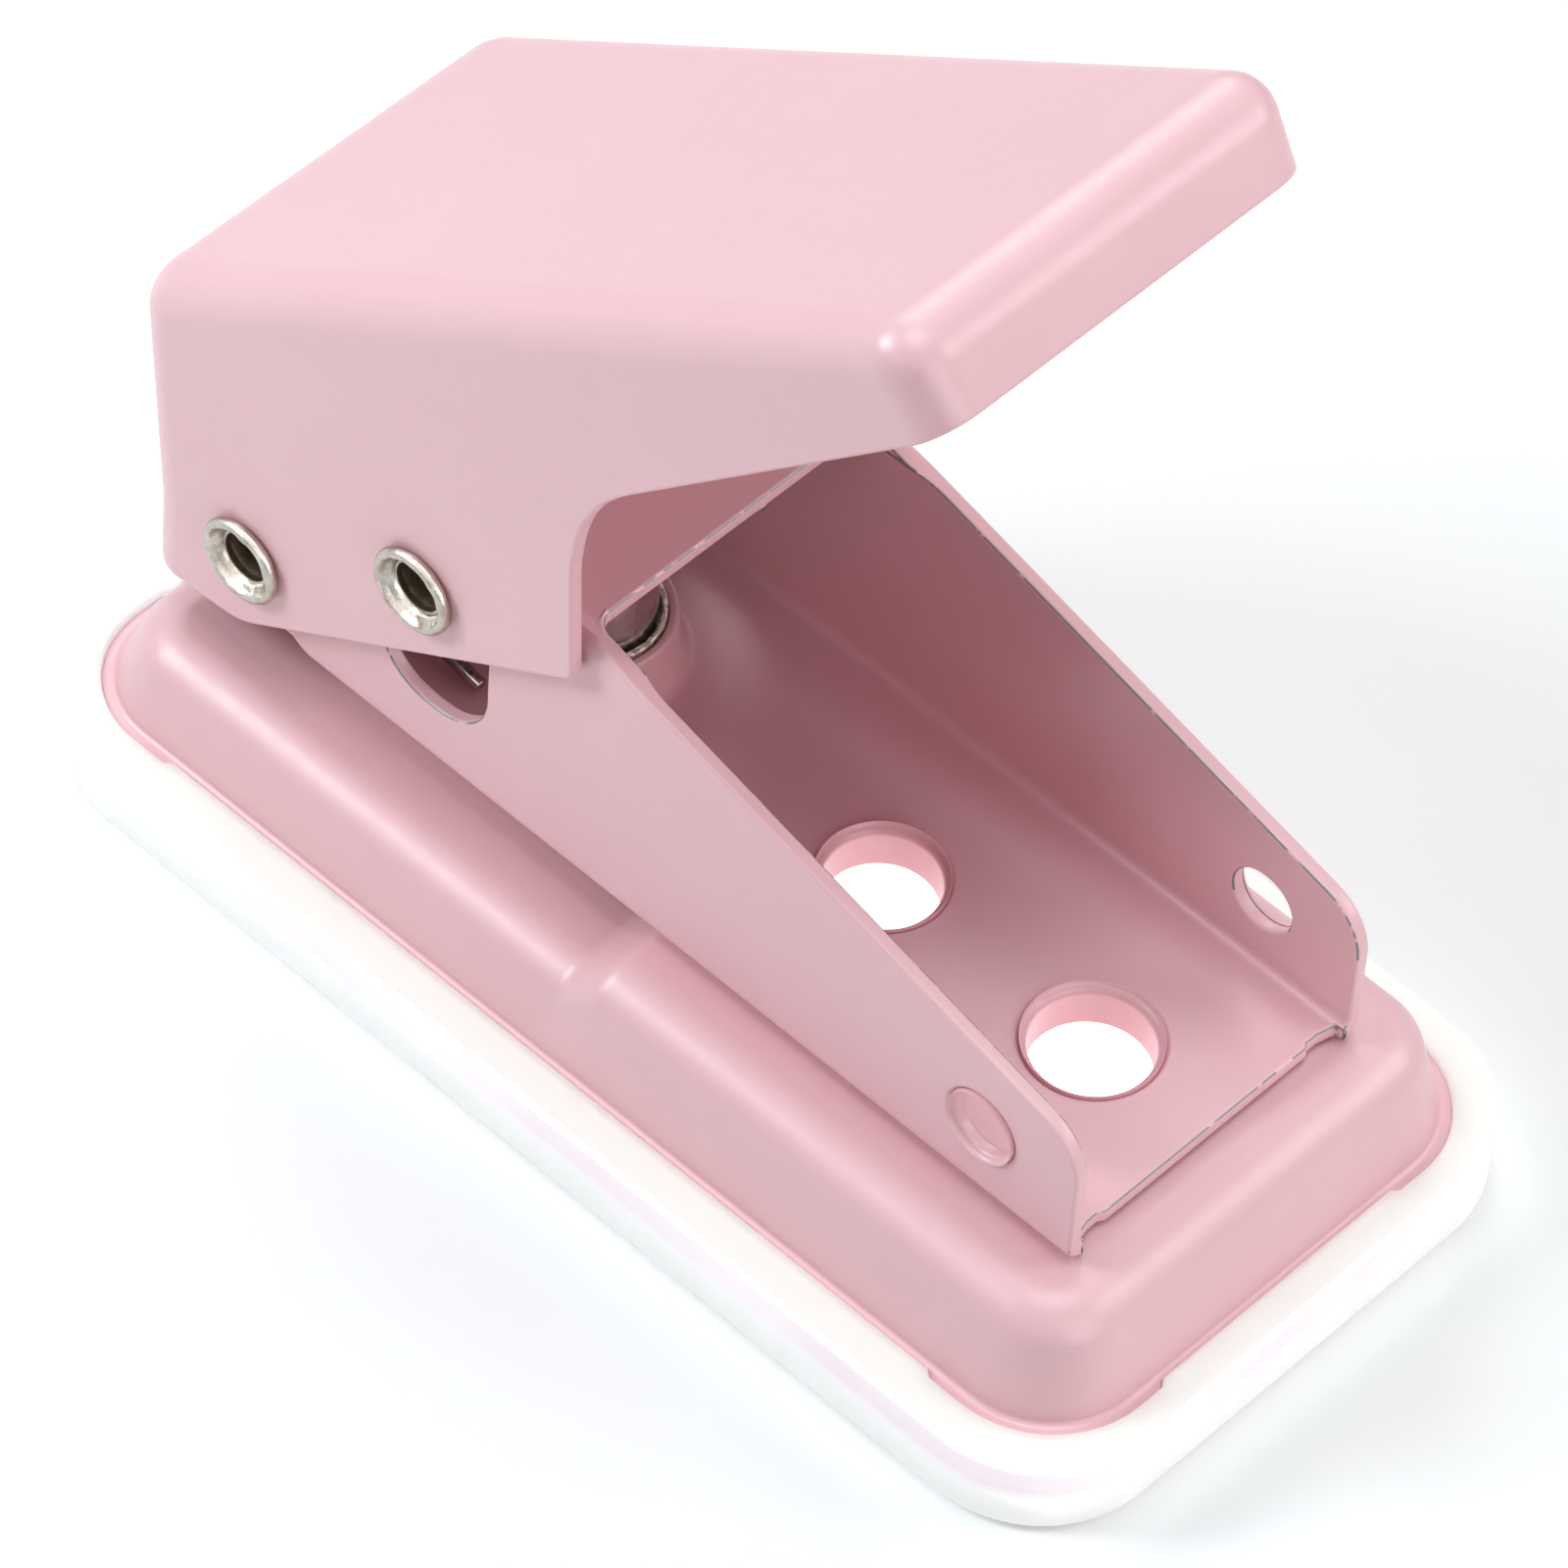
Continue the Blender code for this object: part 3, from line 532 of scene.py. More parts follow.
def base_section():
    """(inset, height above the lip or None, drop below the table or None, lug) of the outer skin,
    then of the inner skin on the way back down."""
    lip_width = 0.5 * MM
    outer = [(0, -0.08 * MM, None, LIP_LUG), (0.08 * MM, 0, None, LIP_LUG)]
    for step in range(9):
        angle = math.pi / 2 * step / 8
        inset = lip_width + (FOOT_INSET - lip_width) * math.sin(angle)
        outer.append((inset, FOOT_RISE * (1 - math.cos(angle)), None, 0))
    centre = SHOULDER_INSET + SHOULDER_RADIUS
    for inset, rise in arc((centre, 0), SHOULDER_RADIUS, SHOULDER_START, 90, 14):
        outer.append((inset, None, SHOULDER_RADIUS - rise, 0))
    inner = []
    for inset, rise in arc((centre, 0), SHOULDER_RADIUS - SHEET, 90, 180, 8):
        inner.append((inset, None, SHOULDER_RADIUS - rise, 0))
    inner += [(FOOT_INSET + SHEET, FOOT_RISE, None, 0)]
    inner += [(FOOT_INSET + 0.9 * SHEET, -0.3 * SHEET, None, 0)]
    inner += [(FOOT_INSET + 0.5 * SHEET, -SHEET, None, 0)]
    inner += [(0.15 * MM, -SHEET, None, LIP_LUG), (0, -SHEET + 0.15 * MM, None, LIP_LUG)]
    return outer, inner


def base_ring(inset, lug):
    """The lip's outline drawn in, with the corners standing proud of the straight sides by a lug."""
    radius = BASE_CORNER - inset
    corner_steps = 18
    stations = [STEP_HALF_LENGTH * (k / 8) - BASE_CENTRE_X for k in range(-8, 9)]
    side = [(x, 1.0) for x in (37 * MM, 36.4 * MM, 30 * MM, 20 * MM, 10 * MM)]
    side += [(x, 1.0) for x in reversed(stations)]
    side += [(x, 1.0) for x in (-10 * MM, -20 * MM, -30 * MM, -36.4 * MM, -37 * MM)]
    half = []
    for y in (11.4 * MM, 12.0 * MM):
        half.append((BASE_STRAIGHT_X + radius, y))
    half += arc((BASE_STRAIGHT_X, BASE_STRAIGHT_Y), radius, 0, 90, corner_steps)
    half += [(x, BASE_STRAIGHT_Y + radius) for x, _ in side]
    half += arc((-BASE_STRAIGHT_X, BASE_STRAIGHT_Y), radius, 90, 180, corner_steps)
    for y in (12.0 * MM, 11.4 * MM):
        half.append((-BASE_STRAIGHT_X - radius, y))
    ring = []
    for x, y in half + [(x, -y) for x, y in reversed(half)]:
        if lug:
            along_side = abs(abs(y) - BASE_STRAIGHT_Y - radius) < 1e-9 and abs(x) < 36.8 * MM
            along_end = abs(abs(x) - BASE_STRAIGHT_X - radius) < 1e-9 and abs(y) < 11.8 * MM
            if along_side:
                y -= math.copysign(lug, y)
            if along_end:
                x -= math.copysign(lug, x)
        ring.append((BASE_CENTRE_X + x, y))
    return ring


def base_skin(shape, section):
    """One skin lofted through the rings of a section, in order."""
    rings = []
    for inset, height, drop, lug in section:
        ring = []
        for x, y in base_ring(inset, lug):
            z = LIP_TOP + height if drop is None else table_height(x) - drop
            ring.append(shape.verts.new((x, y, z)))
        rings.append(ring)
    count = len(rings[0])
    for lower, upper in zip(rings, rings[1:]):
        for i in range(count):
            j = (i + 1) % count
            shape.faces.new((lower[i], lower[j], upper[j], upper[i]))
    return rings


def close_across(shape, ring):
    """Strips from side to side, and one flat face at each end, where three points lie on a line."""
    count, half, end = len(ring), len(ring) // 2, 3
    shape.faces.new(ring[:end + 1] + ring[-end - 1:])
    for i in range(end, half - 1 - end):
        shape.faces.new((ring[i], ring[i + 1], ring[count - 2 - i], ring[count - 1 - i]))
    shape.faces.new(ring[half - 1 - end:half + 1 + end])


def base_shell():
    shape = bmesh.new()
    outer, inner = base_section()
    skin = base_skin(shape, outer)
    lining = base_skin(shape, inner)
    close_across(shape, skin[-1])
    close_across(shape, lining[0])
    count = len(skin[0])
    for i in range(count):
        j = (i + 1) % count
        shape.faces.new((skin[0][i], skin[0][j], lining[-1][j], lining[-1][i]))
    bmesh.ops.recalc_face_normals(shape, faces=shape.faces)
    base = new_object("base_shell_painted", shape)
    up = BASE_HIGH.z + 5 * MM
    drill(base, 5.1 * MM, 0, up, Matrix.Translation((PUNCH_X, 0, 0)))
    for x, radius in FLOOR_HOLES:
        drill(base, radius + SHEET + 0.1 * MM, 0, up, Matrix.Translation((x, 0, 0)))
    shade(base, PAINT)
    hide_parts("base_shell")
    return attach(base, "base")


# The punch frame

FRAME_HALF = FRAME_HIGH.y
FLOOR_TOP = BASE_HIGH.z + 0.25 * MM + SHEET
ROOF_TOP = FRAME_HIGH.z
ROOF_FRONT_X = -6.3 * MM
ROOF_REAR_X = -30.0 * MM
WALL_FRONT_X = FRAME_HIGH.x
WALL_TOP_AT_FRONT = 27.6 * MM
WALL_FRONT_CORNER = 4.7 * MM
FLOOR_FRONT_X = 39.7 * MM
FLOOR_REAR_X = -31.0 * MM
EAR_REAR_X = FRAME_LOW.x
BEND = 1.6 * MM
INNER_BEND = 0.9 * MM
WINDOW = ((-24.9 * MM, 21.65 * MM), (-14.7 * MM, 38.2 * MM))
WINDOW_ROUND = 4.65 * MM
COLLAR_TOP = BUSH_HIGH.z - 0.25 * MM
COLLAR_RADIUS = 6.25 * MM
COLLAR_BORE = 5.52 * MM
COLLAR_FLARE = 1.4 * MM
WALL_HOLE = (31.9 * MM, 0, 22.8 * MM)
WALL_HOLE_RADIUS = 2.6 * MM
SKIRT_DEPTH = 2.6 * MM
FLOOR_FRONT_HALF = 12.9 * MM
FLOOR_NOTCH = 0.28 * MM


def frame_side():
    floor = FLOOR_TOP - SHEET
    return rounded([
        (FLOOR_REAR_X, floor, 0.9 * MM),
        (WALL_FRONT_X, floor, 0),
        (WALL_FRONT_X, WALL_TOP_AT_FRONT, WALL_FRONT_CORNER),
        (ROOF_FRONT_X, ROOF_TOP, 0),
        (ROOF_REAR_X, ROOF_TOP, 3.0 * MM),
        (EAR_REAR_X, 28.5 * MM, 5.0 * MM),
        (EAR_REAR_X, 17.9 * MM, 5.5 * MM),
        (FLOOR_REAR_X - 2.3 * MM, floor + 1.7 * MM, 1.0 * MM),
    ])


def rounded_bore(radius, rim, inner_face, outer_face, far):
    """Profile of a cutter that leaves a hole with a rounded rim where it meets its outer face."""
    flare = arc((radius + rim, outer_face - rim), rim, 180, 100, 8)
    return [(0, far), (flare[-1][0], far), *reversed(flare), (radius, inner_face), (0, inner_face)]


def floor_front():
    """What is cut away in front of the floor: a straight edge with a shallow notch near each wall."""
    front, notch = FLOOR_FRONT_X, FLOOR_FRONT_X - FLOOR_NOTCH
    half = [(THROUGH, FLOOR_FRONT_HALF), (front + 0.1 * MM, FLOOR_FRONT_HALF)]
    half += [(notch, 11.4 * MM), (notch, 10.4 * MM), (front, 10.0 * MM)]
    return [(THROUGH, -FLOOR_FRONT_HALF), *half] + [(x, -y) for x, y in half[:0:-1]]


def floor_hole(body, x, radius):
    """One clearance hole, its turned-down skirt and its rounded rim."""
    floor, middle = FLOOR_TOP - SHEET, FLOOR_TOP - SHEET / 2
    at_hole = Matrix.Translation((x, 0, 0))
    inner, outer = radius - 0.2 * MM, radius + SHEET
    skirt = [(inner, middle), (outer, middle), (outer, floor - SKIRT_DEPTH + 0.4 * MM),
             (outer + 0.5 * MM, floor - SKIRT_DEPTH), (inner, floor - SKIRT_DEPTH)]
    combine(body, turned("skirt", skirt, place=at_hole), "UNION")
    bore = rounded_bore(radius, 0.7 * MM, 0, FLOOR_TOP, ROOF_TOP)
    combine(body, turned("bore", bore, place=at_hole, closed=False))


def punch_frame():
    floor = FLOOR_TOP - SHEET
    inside = FRAME_HALF - SHEET
    far = THROUGH
    end = rounded_rectangle((-FRAME_HALF, floor), (FRAME_HALF, ROOF_TOP), BEND)
    body = plate("punch_frame_painted", end, -far, far, ENDWAYS)
    combine(body, plate("trim", frame_side(), -far, far, SIDEWAYS), "INTERSECT")
    hollow = rounded_rectangle((-inside, FLOOR_TOP), (inside, ROOF_TOP - SHEET), INNER_BEND)
    combine(body, plate("hollow", hollow, -far, far, ENDWAYS))
    half = inside - 0.4 * MM
    opening = rounded_rectangle((ROOF_FRONT_X, -half), (far, half), 1.3 * MM)
    combine(body, plate("opening", opening, ROOF_TOP - 2 * SHEET, far))

    at_punch = Matrix.Translation((PUNCH_X, 0, 0))
    middle = FLOOR_TOP - SHEET / 2
    collar = [(COLLAR_BORE - 0.3 * MM, middle), (COLLAR_BORE - 0.3 * MM, COLLAR_TOP)]
    collar += arc((COLLAR_RADIUS - 0.3 * MM, COLLAR_TOP - 0.3 * MM), 0.3 * MM, 90, 0, 4)
    foot = arc((COLLAR_RADIUS + COLLAR_FLARE, FLOOR_TOP + COLLAR_FLARE), COLLAR_FLARE, 180, 268, 10)
    collar += foot + [(COLLAR_RADIUS + COLLAR_FLARE, middle)]
    combine(body, turned("collar", collar, place=at_punch), "UNION")
    drill(body, COLLAR_BORE, 0, ROOF_TOP - 2 * SHEET, at_punch, 96)
    for x, radius in FLOOR_HOLES:
        floor_hole(body, x, radius)

    for side in (-1, 1):
        outwards = Matrix.Rotation(-side * math.pi / 2, 4, "X")
        at_wall = Matrix.Translation(WALL_HOLE) @ outwards
        bore = rounded_bore(WALL_HOLE_RADIUS, 0.45 * MM, inside - 2 * MM, FRAME_HALF, far)
        combine(body, turned("bore", bore, 64, at_wall, closed=False))
    at_pivot = Matrix.Translation((PIVOT.x, 0, PIVOT.z)) @ Matrix.Rotation(-math.pi / 2, 4, "X")
    drill(body, RIVET_HOLE, -far, far, at_pivot, 48)
    window = rounded_rectangle(*WINDOW, WINDOW_ROUND)
    combine(body, plate("window", window, -far, far, SIDEWAYS))

    combine(body, plate("front", floor_front(), 0, FLOOR_TOP + 0.35 * MM))
    soften(body, 0.3 * MM, 3, wear_and_shade=True)

    # Grey on rounded edges: bare metal along the floor's front edge and the windows' outer rims, and on the
    # inner edges high up partly wear, partly painted shade.
    def gets_wear_and_shade(at):
        on_floor = at.z < FLOOR_TOP + 0.3 * MM and at.x > FLOOR_FRONT_X - MM
        on_inner_top = abs(at.y) < FRAME_HALF - 0.6 * SHEET and at.z > FLOOR_TOP + 5 * MM
        outside = abs(at.y) > FRAME_HALF - 0.5 * SHEET
        on_window = WINDOW[0][0] - MM < at.x < WINDOW[1][0] + MM and at.z < ROOF_TOP - 4 * MM
        return on_floor or on_inner_top or (outside and on_window)

    shade(body, PAINT, WORN_AND_SHADED_PAINT, gets_wear_and_shade)
    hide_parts("punch_frame")
    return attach(body, "base")


# The handle, drawn in its own frame with the pivot at the origin

HANDLE_TOP = 23.6 * MM
HANDLE_FRONT = 87.5 * MM
HANDLE_HALF = 16.0 * MM
HANDLE_HALF_TOP = 18.0 * MM
LEAN_START = 3.8 * MM
HANDLE_ROUND = 3.5 * MM
HANDLE_BLANK_DEPTH = 12 * MM
HANDLE_REAR_AT_TOP = 4.4 * MM
HANDLE_REAR_SLOPE = 0.7229
HANDLE_SKIRT_SLOPE = 0.1918


def handle_trim():
    far = 110 * MM
    corners = [(-25.0, 6.3, 0), (-4.8, -5.8, 6.0), (32.9, -7.15, 1.5), (42.15, 7.37, 18.0)]
    corners = [(u * MM, w * MM, radius * MM) for u, w, radius in corners]
    corners.append((far, corners[-1][1] + HANDLE_SKIRT_SLOPE * (far - corners[-1][0]), 0))
    corners += [(far, 60 * MM, 0), (corners[0][0], 60 * MM, 0)]
    return rounded(corners, 3)


def handle():
    shape = bmesh.new()
    depth = HANDLE_TOP + HANDLE_BLANK_DEPTH
    centre = Vector((HANDLE_FRONT / 2, 0, HANDLE_TOP - depth / 2))
    size = Matrix.Diagonal((HANDLE_FRONT, 2 * HANDLE_HALF, depth, 1))
    bmesh.ops.create_cube(shape, size=1, matrix=Matrix.Translation(centre) @ size)
    everything = shape.verts[:] + shape.edges[:] + shape.faces[:]
    bmesh.ops.bisect_plane(shape, geom=everything, plane_co=(0, 0, LEAN_START), plane_no=(0, 0, 1))
    for vert in shape.verts:
        above = max(vert.co.z - LEAN_START, 0) / (HANDLE_TOP - LEAN_START)
        vert.co.y = math.copysign(HANDLE_HALF + (HANDLE_HALF_TOP - HANDLE_HALF) * above, vert.co.y)
        if vert.co.x < HANDLE_FRONT / 2:
            vert.co.x = HANDLE_REAR_AT_TOP - HANDLE_REAR_SLOPE * (HANDLE_TOP - vert.co.z)
    bottom = [f for f in shape.faces if f.calc_center_median().z < HANDLE_TOP - depth + 1e-6]
    bmesh.ops.delete(shape, geom=bottom, context="FACES")
    top_edges = [
        edge for edge in shape.edges
        if all(abs(v.co.z - HANDLE_TOP) < 1e-6 for v in edge.verts)
        or abs(edge.verts[0].co.z - edge.verts[1].co.z) > 1 * MM
    ]
    bmesh.ops.bevel(
        shape, geom=top_edges, offset=HANDLE_ROUND, segments=12, profile=0.5, affect="EDGES"
    )
    bmesh.ops.recalc_face_normals(shape, faces=shape.faces)
    if sum(face.normal.z for face in shape.faces) < 0:
        bmesh.ops.reverse_faces(shape, faces=shape.faces)
    bmesh.ops.transform(shape, matrix=TO_HANDLE, verts=shape.verts)
    lid = new_object("handle_painted", shape)
    sheet = lid.modifiers.new("sheet", "SOLIDIFY")
    sheet.thickness = SHEET
    sheet.offset = -1
    sheet.use_even_offset = True
    bake(lid)
    far = 40 * MM
    combine(lid, plate("trim", handle_trim(), -far, far, SIDEWAYS, TO_HANDLE), "INTERSECT")
    for at in (PIVOT, DRIVE):
        place = Matrix.Translation((at.x, 0, at.z)) @ Matrix.Rotation(-math.pi / 2, 4, "X")
        drill(lid, RIVET_HOLE, -far, far, place, 48)
    soften(lid, 0.34 * MM, 3, wear_and_shade=True)
    to_own = TO_HANDLE.inverted()

    # Painted shade: grey along the inner rounded edges at the front of the skirt, where their rounding is
    # in shade.
    def gets_wear_and_shade(at):
        own = to_own @ at
        return 31 * MM < own.x < 52 * MM and abs(own.y) < HANDLE_HALF - 0.5 * SHEET

    shade(lid, PAINT, WORN_AND_SHADED_PAINT, gets_wear_and_shade)
    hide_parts("handle")
    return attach(lid, "handle")


# Rivets, pin, bush, die and spring

def rivet(name, node, at, body, seed):
    """A hollow rivet with a rolled, slightly uneven head at each end."""
    seat = HANDLE_HALF + 0.03 * MM
    top = RIVET_HIGH.y
    head = RIVET_HIGH.x - PIVOT.x
    half = (top - seat) / 2
    end = [(2.0 * MM, seat - 0.02 * MM)]
    end += arc((head - half, seat + half), half, -90, 105, 12)
    end += [(2.78 * MM, top - 0.12 * MM), (2.66 * MM, top - 0.34 * MM), (2.50 * MM, top - 0.52 * MM)]
    end += [(2.36 * MM, top - 0.62 * MM), (2.24 * MM, top - 0.78 * MM), (2.12 * MM, top - 1.1 * MM)]
    end += [(1.98 * MM, top - 1.5 * MM), (1.90 * MM, top - 2.1 * MM), (1.80 * MM, top - 3.2 * MM)]
    end += [(1.62 * MM, top - 3.6 * MM)]
    profile = end[::-1] + [(radius, -y) for radius, y in end]
    turn = Matrix.Translation((at.x, 0, at.z)) @ Matrix.Rotation(-math.pi / 2, 4, "X")
    obj = turned(name, profile, 72, turn)
    generator = random.Random(seed)
    shift = Vector((generator.uniform(0, 50), generator.uniform(0, 50), generator.uniform(0, 50)))
    for vert in obj.data.vertices:
        spoke = Vector((vert.co.x - at.x, 0, vert.co.z - at.z))
        if abs(vert.co.y) > seat + 0.1 * MM and spoke.length < head - 0.15 * MM:
            wobble = noise.noise(vert.co * 900 + shift)
            vert.co += spoke.normalized() * wobble * 0.08 * MM
            vert.co.y += math.copysign(min(wobble, 0) * 0.12 * MM, vert.co.y)
    shade(obj, NICKEL, BORE_PAINTED_SHADE)
    # Painted shade: faces within 2.05 mm of the axis, inside the bore, take the dark brown bore material.
    for polygon in obj.data.polygons:
        spoke = math.hypot(polygon.center.x - at.x, polygon.center.z - at.z)
        polygon.material_index = int(spoke < 2.05 * MM)
    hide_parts(node)
    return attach(obj, body)


def punch_pin():
    radius = PIN_HIGH.x - PUNCH_X
    low, high = PIN_LOW.z, PIN_HIGH.z
    profile = [(0, high)]
    profile += arc((radius - 0.35 * MM, high - 0.35 * MM), 0.35 * MM, 90, 0, 4)
    profile += [(radius, low + 6.1 * MM), (radius - 0.05 * MM, low + 6.0 * MM), (radius - 0.05 * MM, low)]
    profile += [(radius - 0.6 * MM, low + 0.25 * MM), (radius - 1.4 * MM, low + 0.6 * MM)]
    profile += [(0, low + 0.9 * MM)]
    pin = turned("punch_pin_ground", profile, 96, Matrix.Translation((PUNCH_X, 0, 0)), closed=False)
    half = 2.3 * MM
    slot = rounded_rectangle(
        (PUNCH_X - 3.55 * MM, DRIVE.z - half), (PUNCH_X + 4.05 * MM, DRIVE.z + half), half * 0.95
    )
    combine(pin, plate("slot", slot, -10 * MM, 10 * MM, SIDEWAYS))
    shade(pin, PIN_STEEL)
    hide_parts("punch_pin")
    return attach(pin, "punch")


def guide_bush():
    """A thin bush whose rim was worked over by hand, so it is bright, torn and uneven."""
    bore, radius = 5.0 * MM, BUSH_HIGH.x - PUNCH_X
    top, bottom = BUSH_HIGH.z, BUSH_LOW.z
    profile = [(bore, bottom), (radius, bottom), (radius, top - 0.3 * MM)]
    profile += arc((radius - 0.15 * MM, top - 0.2 * MM), 0.15 * MM, 0, 90, 4)
    profile += arc((bore + 0.14 * MM, top - 0.2 * MM), 0.14 * MM, 90, 180, 4)
    bush = turned("guide_bush_worked", profile, 160, Matrix.Translation((PUNCH_X, 0, 0)))
    for vert in bush.data.vertices:
        if vert.co.z > top - 0.35 * MM:
            spoke = Vector((vert.co.x - PUNCH_X, vert.co.y, 0)).normalized()
            tear = noise.noise(vert.co * 1500)
            vert.co.z += min(tear, 0.2) * 0.22 * MM
            vert.co += spoke * noise.noise(vert.co * 1100 + Vector((7, 3, 1))) * 0.06 * MM
    shade(bush, BURR)
    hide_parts("guide_bush")
    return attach(bush, "base")


def die_plate():
    bore, radius = 4.85 * MM, DIE_HIGH.x - PUNCH_X
    top, bottom = DIE_HIGH.z, DIE_LOW.z
    profile = [(bore, top - 0.05 * MM), (bore + 0.05 * MM, top)]
    profile += arc((radius - 0.3 * MM, top - 0.3 * MM), 0.3 * MM, 90, 0, 4)
    profile += arc((radius - 0.3 * MM, bottom + 0.3 * MM), 0.3 * MM, 0, -90, 4)
    profile += [(bore + 0.6 * MM, bottom), (bore + 0.2 * MM, bottom + 0.5 * MM)]
    die = turned("die_plate_ground", profile, 96, Matrix.Translation((PUNCH_X, 0, 0)))
    shade(die, DIE_STEEL)
    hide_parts("die_plate")
    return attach(die, "base")


WIRE = 0.55 * MM
COIL = 3.3 * MM
COIL_PITCH = 1.17 * MM
LOWER_LEG_Y = -8.3 * MM
LOWER_DROP = math.radians(12.5)
UPPER_RISE = math.radians(15.2)
LOWER_LEG = 16.6 * MM
UPPER_LEG = 21 * MM
LEG_STEPS = 12
COIL_STEPS_PER_TURN = 40


def return_spring():
    """Wound wire round the pivot, with a lower leg towards the frame and an upper leg towards the handle.
    """
    start_angle = -math.pi / 2 - LOWER_DROP
    end_angle = math.pi / 2 + UPPER_RISE - 8 * math.pi
    turns = (start_angle - end_angle) / (2 * math.pi)

    def on_coil(angle, y):
        return Vector((PIVOT.x + COIL * math.cos(angle), y, PIVOT.z + COIL * math.sin(angle)))

    lower = Vector((math.cos(LOWER_DROP), 0, -math.sin(LOWER_DROP)))
    upper = Vector((math.cos(UPPER_RISE), 0, math.sin(UPPER_RISE)))
    start = on_coil(start_angle, LOWER_LEG_Y)
    points = [start + lower * LOWER_LEG * (1 - k / LEG_STEPS) for k in range(LEG_STEPS)]
    steps = round(turns * COIL_STEPS_PER_TURN)
    for step in range(steps + 1):
        share = step / steps
        angle = start_angle + (end_angle - start_angle) * share
        points.append(on_coil(angle, LOWER_LEG_Y - COIL_PITCH * turns * share))
    finish = points[-1]
    points += [finish + upper * UPPER_LEG * (k / LEG_STEPS) for k in range(1, LEG_STEPS + 1)]
    curve = bpy.data.curves.new("wire", "CURVE")
    curve.dimensions = "3D"
    curve.bevel_depth = WIRE
    curve.bevel_resolution = 4
    curve.use_fill_caps = True
    spline = curve.splines.new("POLY")
    spline.points.add(len(points) - 1)
    for point, place in zip(spline.points, points):
        point.co = (*place, 1)
    drawn = bpy.data.objects.new("wire", curve)
    bpy.context.scene.collection.objects.link(drawn)
    bpy.context.view_layer.update()
    graph = bpy.context.evaluated_depsgraph_get()
    shape = bmesh.new()
    shape.from_mesh(bpy.data.meshes.new_from_object(drawn.evaluated_get(graph)))
    bmesh.ops.remove_doubles(shape, verts=shape.verts, dist=1e-6)
    bpy.data.objects.remove(drawn)
    spring = new_object("return_spring_wound", shape)
    soften(spring, 0.1 * MM, 2, angle=60)
    shade(spring, WIRE_STEEL)
    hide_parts("return_spring")
    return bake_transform(spring)


# The chip tray

TRAY_CORNER = 9.8 * MM
TRAY_FLOOR = 1.4 * MM
TRAY_FOOT_ROUND = 1.0 * MM
TRAY_RIM_ROUND = 0.35 * MM
TRAY_FIT = 0.06 * MM
WELL_INSET = 2.4 * MM
ABOVE_TRAY = 20 * MM


def chip_tray():
    half_x, half_y = TRAY_HIGH.x, TRAY_HIGH.y
    rim = TRAY_HIGH.z
    shape = bmesh.new()
    section = [(1.3 * MM, 0)] + [
        (TRAY_FOOT_ROUND - r, z) for r, z in arc((0, TRAY_FOOT_ROUND), TRAY_FOOT_ROUND, -75, 0, 6)
    ]
    section += [(0.0, rim - TRAY_RIM_ROUND)]
    rolled = arc((0, rim - TRAY_RIM_ROUND), TRAY_RIM_ROUND, 15, 90, 5)
    section += [(TRAY_RIM_ROUND - r, z) for r, z in rolled]
    rings = []
    for inset, z in section:
        outline = []
        radius = TRAY_CORNER - inset
        straight_x, straight_y = half_x - TRAY_CORNER, half_y - TRAY_CORNER
        for cx, cy, start in ((1, 1, 0), (-1, 1, 90), (-1, -1, 180), (1, -1, 270)):
            outline += arc((cx * straight_x, cy * straight_y), radius, start, start + 90, 24)
        rings.append([shape.verts.new((x, y, z)) for x, y in outline])
    count = len(rings[0])
    for lower, upper in zip(rings, rings[1:]):
        for i in range(count):
            j = (i + 1) % count
            shape.faces.new((lower[i], lower[j], upper[j], upper[i]))
    shape.faces.new(list(reversed(rings[0])))
    shape.faces.new(rings[-1])
    bmesh.ops.recalc_face_normals(shape, faces=shape.faces)
    tray = new_object("chip_tray_moulded", shape)
    seat = base_ring(-TRAY_FIT, LIP_LUG)
    combine(tray, plate("seat", seat, LIP_TOP - SHEET - 0.15 * MM, ABOVE_TRAY))
    well_radius = BASE_CORNER - WELL_INSET
    low = (BASE_CENTRE_X - BASE_STRAIGHT_X - well_radius, -BASE_STRAIGHT_Y - well_radius)
    high = (BASE_CENTRE_X + BASE_STRAIGHT_X + well_radius, BASE_STRAIGHT_Y + well_radius)
    well = rounded_rectangle(low, high, well_radius)
    combine(tray, plate("well", well, TRAY_FLOOR, ABOVE_TRAY))
    soften(tray, 0.18 * MM, 3, angle=50)
    shade(tray, TRAY_PLASTIC)
    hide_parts("chip_tray")
    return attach(tray, "tray")


chip_tray()
base_shell()
punch_frame()
handle()
rivet("pivot_rivet_rolled", "pivot_rivet", PIVOT, "base", 3)
rivet("drive_rivet_rolled", "drive_rivet", DRIVE, "handle", 8)
punch_pin()
guide_bush()
die_plate()
return_spring()


# Stage: floor, light and camera

def floor():
    shape = bmesh.new()
    bmesh.ops.create_grid(shape, x_segments=8, y_segments=8, size=1.5)
    obj = new_object("floor", shape)
    obj.data.materials.append(floor_material())


COOL = (0.91, 1.0, 1.02)
NEUTRAL = (1.0, 1.0, 1.0)
STUDIO = (
    ("top", (0, 0, 1), 0.9, 0.5, 3.4, COOL),
    ("front", (1, 0, 0.6), 0.9, 0.4, 0.3, NEUTRAL),
    ("front_low", (1, -0.2, 0.22), 0.9, 0.55, 2.5, NEUTRAL),
    ("rear_far", (-0.7, 0.6, 0.8), 0.9, 0.4, 1.9, NEUTRAL),
    ("near_rear", (-0.75, -0.65, 0.75), 0.55, 0.2, 1.75, COOL),
    ("front_far", (0.7, 0.7, 0.6), 0.9, 0.4, 2.5, NEUTRAL),
)


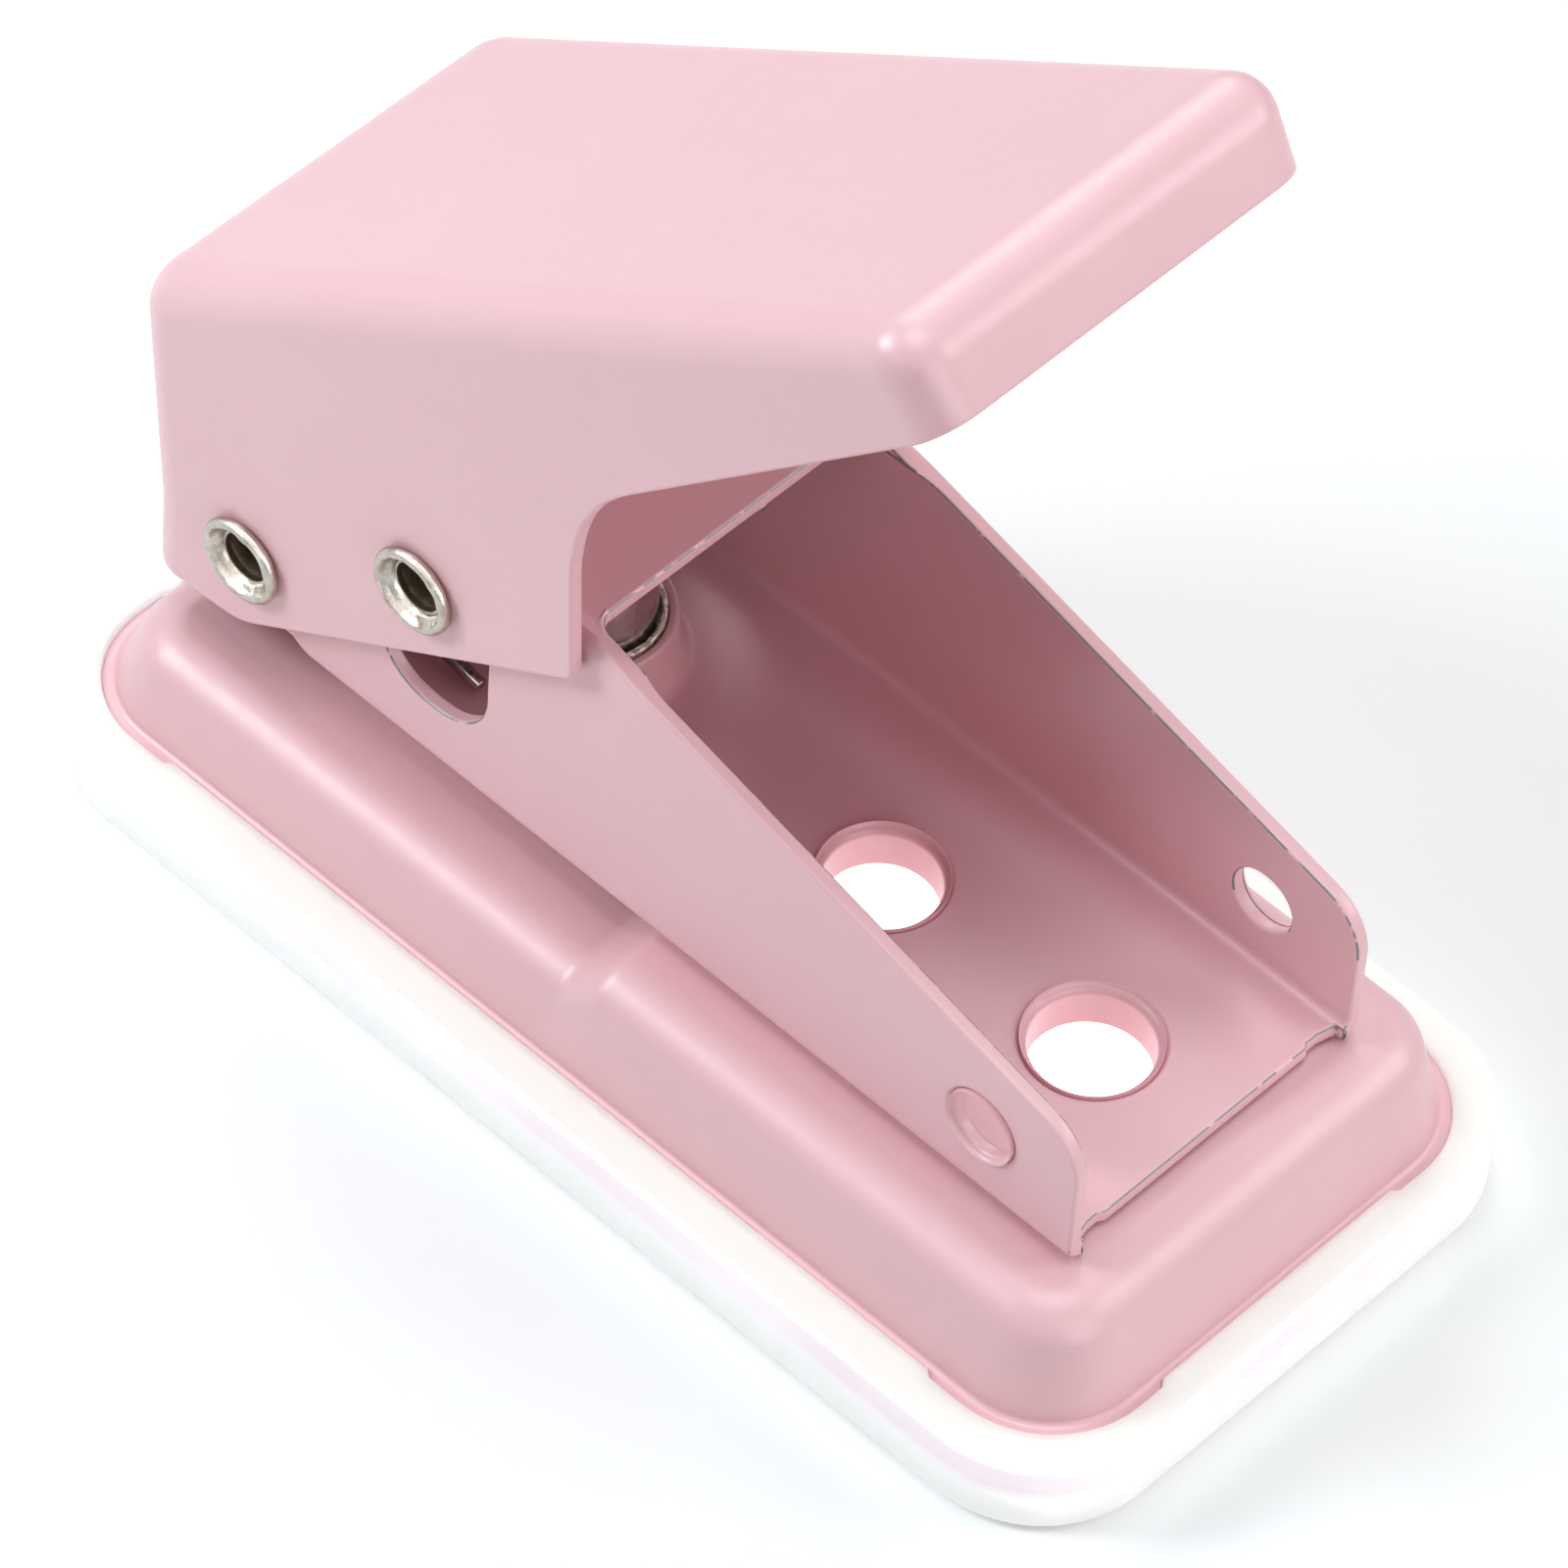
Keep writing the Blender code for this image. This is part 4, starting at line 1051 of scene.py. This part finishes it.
def area_light(name, towards, distance, size, power, tint):
    """A square soft light, facing the punch from one direction."""
    light = bpy.data.lights.new(name, "AREA")
    light.size = size
    light.energy = power
    light.color = tint
    obj = bpy.data.objects.new(name, light)
    out = Vector(towards).normalized()
    obj.location = out * distance
    obj.rotation_euler = (-out).to_track_quat("-Z", "Y").to_euler()
    bpy.context.scene.collection.objects.link(obj)


CAMERA_ANGLES = (40.59, 50.24, 4.445)
CAMERA_TARGET = Vector((0.88, -0.952, 20.0)) * MM
CAMERA_DISTANCE_MM = 697
CAMERA_LENS = 233.9


def camera():
    """Looks down at the near front corner from the side, with a long lens and a slight roll."""
    azimuth, elevation, roll = (math.radians(a) for a in CAMERA_ANGLES)
    back = Vector((math.sin(azimuth) * math.cos(elevation), -math.cos(azimuth) * math.cos(elevation),
                   math.sin(elevation)))
    right = Vector((math.cos(azimuth), math.sin(azimuth), 0))
    up = back.cross(right)
    right, up = (math.cos(roll) * right + math.sin(roll) * up,
                 -math.sin(roll) * right + math.cos(roll) * up)
    place = CAMERA_TARGET + back * CAMERA_DISTANCE_MM * MM
    data = bpy.data.cameras.new("camera")
    data.sensor_width = 36
    data.lens = CAMERA_LENS
    data.clip_start = 0.01
    obj = bpy.data.objects.new("camera", data)
    turn = Matrix((right, up, back)).transposed().to_4x4()
    obj.matrix_world = Matrix.Translation(place) @ turn
    bpy.context.scene.collection.objects.link(obj)
    bpy.context.scene.camera = obj


def world_light():
    """A white room, seen mostly in reflections; the soft lights do the rest."""
    world = bpy.data.worlds.new("studio")
    world.use_nodes = True
    tree = world.node_tree
    background = tree.nodes["Background"]
    background.inputs["Color"].default_value = (1.0, 1.0, 1.0, 1)
    place = tree.nodes.new("ShaderNodeTexCoord")
    split = tree.nodes.new("ShaderNodeSeparateXYZ")
    tree.links.new(place.outputs["Generated"], split.inputs["Vector"])
    room = tree.nodes.new("ShaderNodeMapRange")
    for name, value in (("From Min", 0.05), ("From Max", 0.35), ("To Min", 0.45), ("To Max", 1.7)):
        room.inputs[name].default_value = value
    tree.links.new(split.outputs["Z"], room.inputs["Value"])
    path = tree.nodes.new("ShaderNodeLightPath")
    strength = tree.nodes.new("ShaderNodeMapRange")
    strength.inputs["To Min"].default_value = 0.06
    tree.links.new(room.outputs["Result"], strength.inputs["To Max"])
    tree.links.new(path.outputs["Is Glossy Ray"], strength.inputs["Value"])
    tree.links.new(strength.outputs["Result"], background.inputs["Strength"])
    bpy.context.scene.world = world


floor()
world_light()
for light in STUDIO:
    area_light(*light)
camera()
bpy.context.scene.view_settings.view_transform = "Standard"
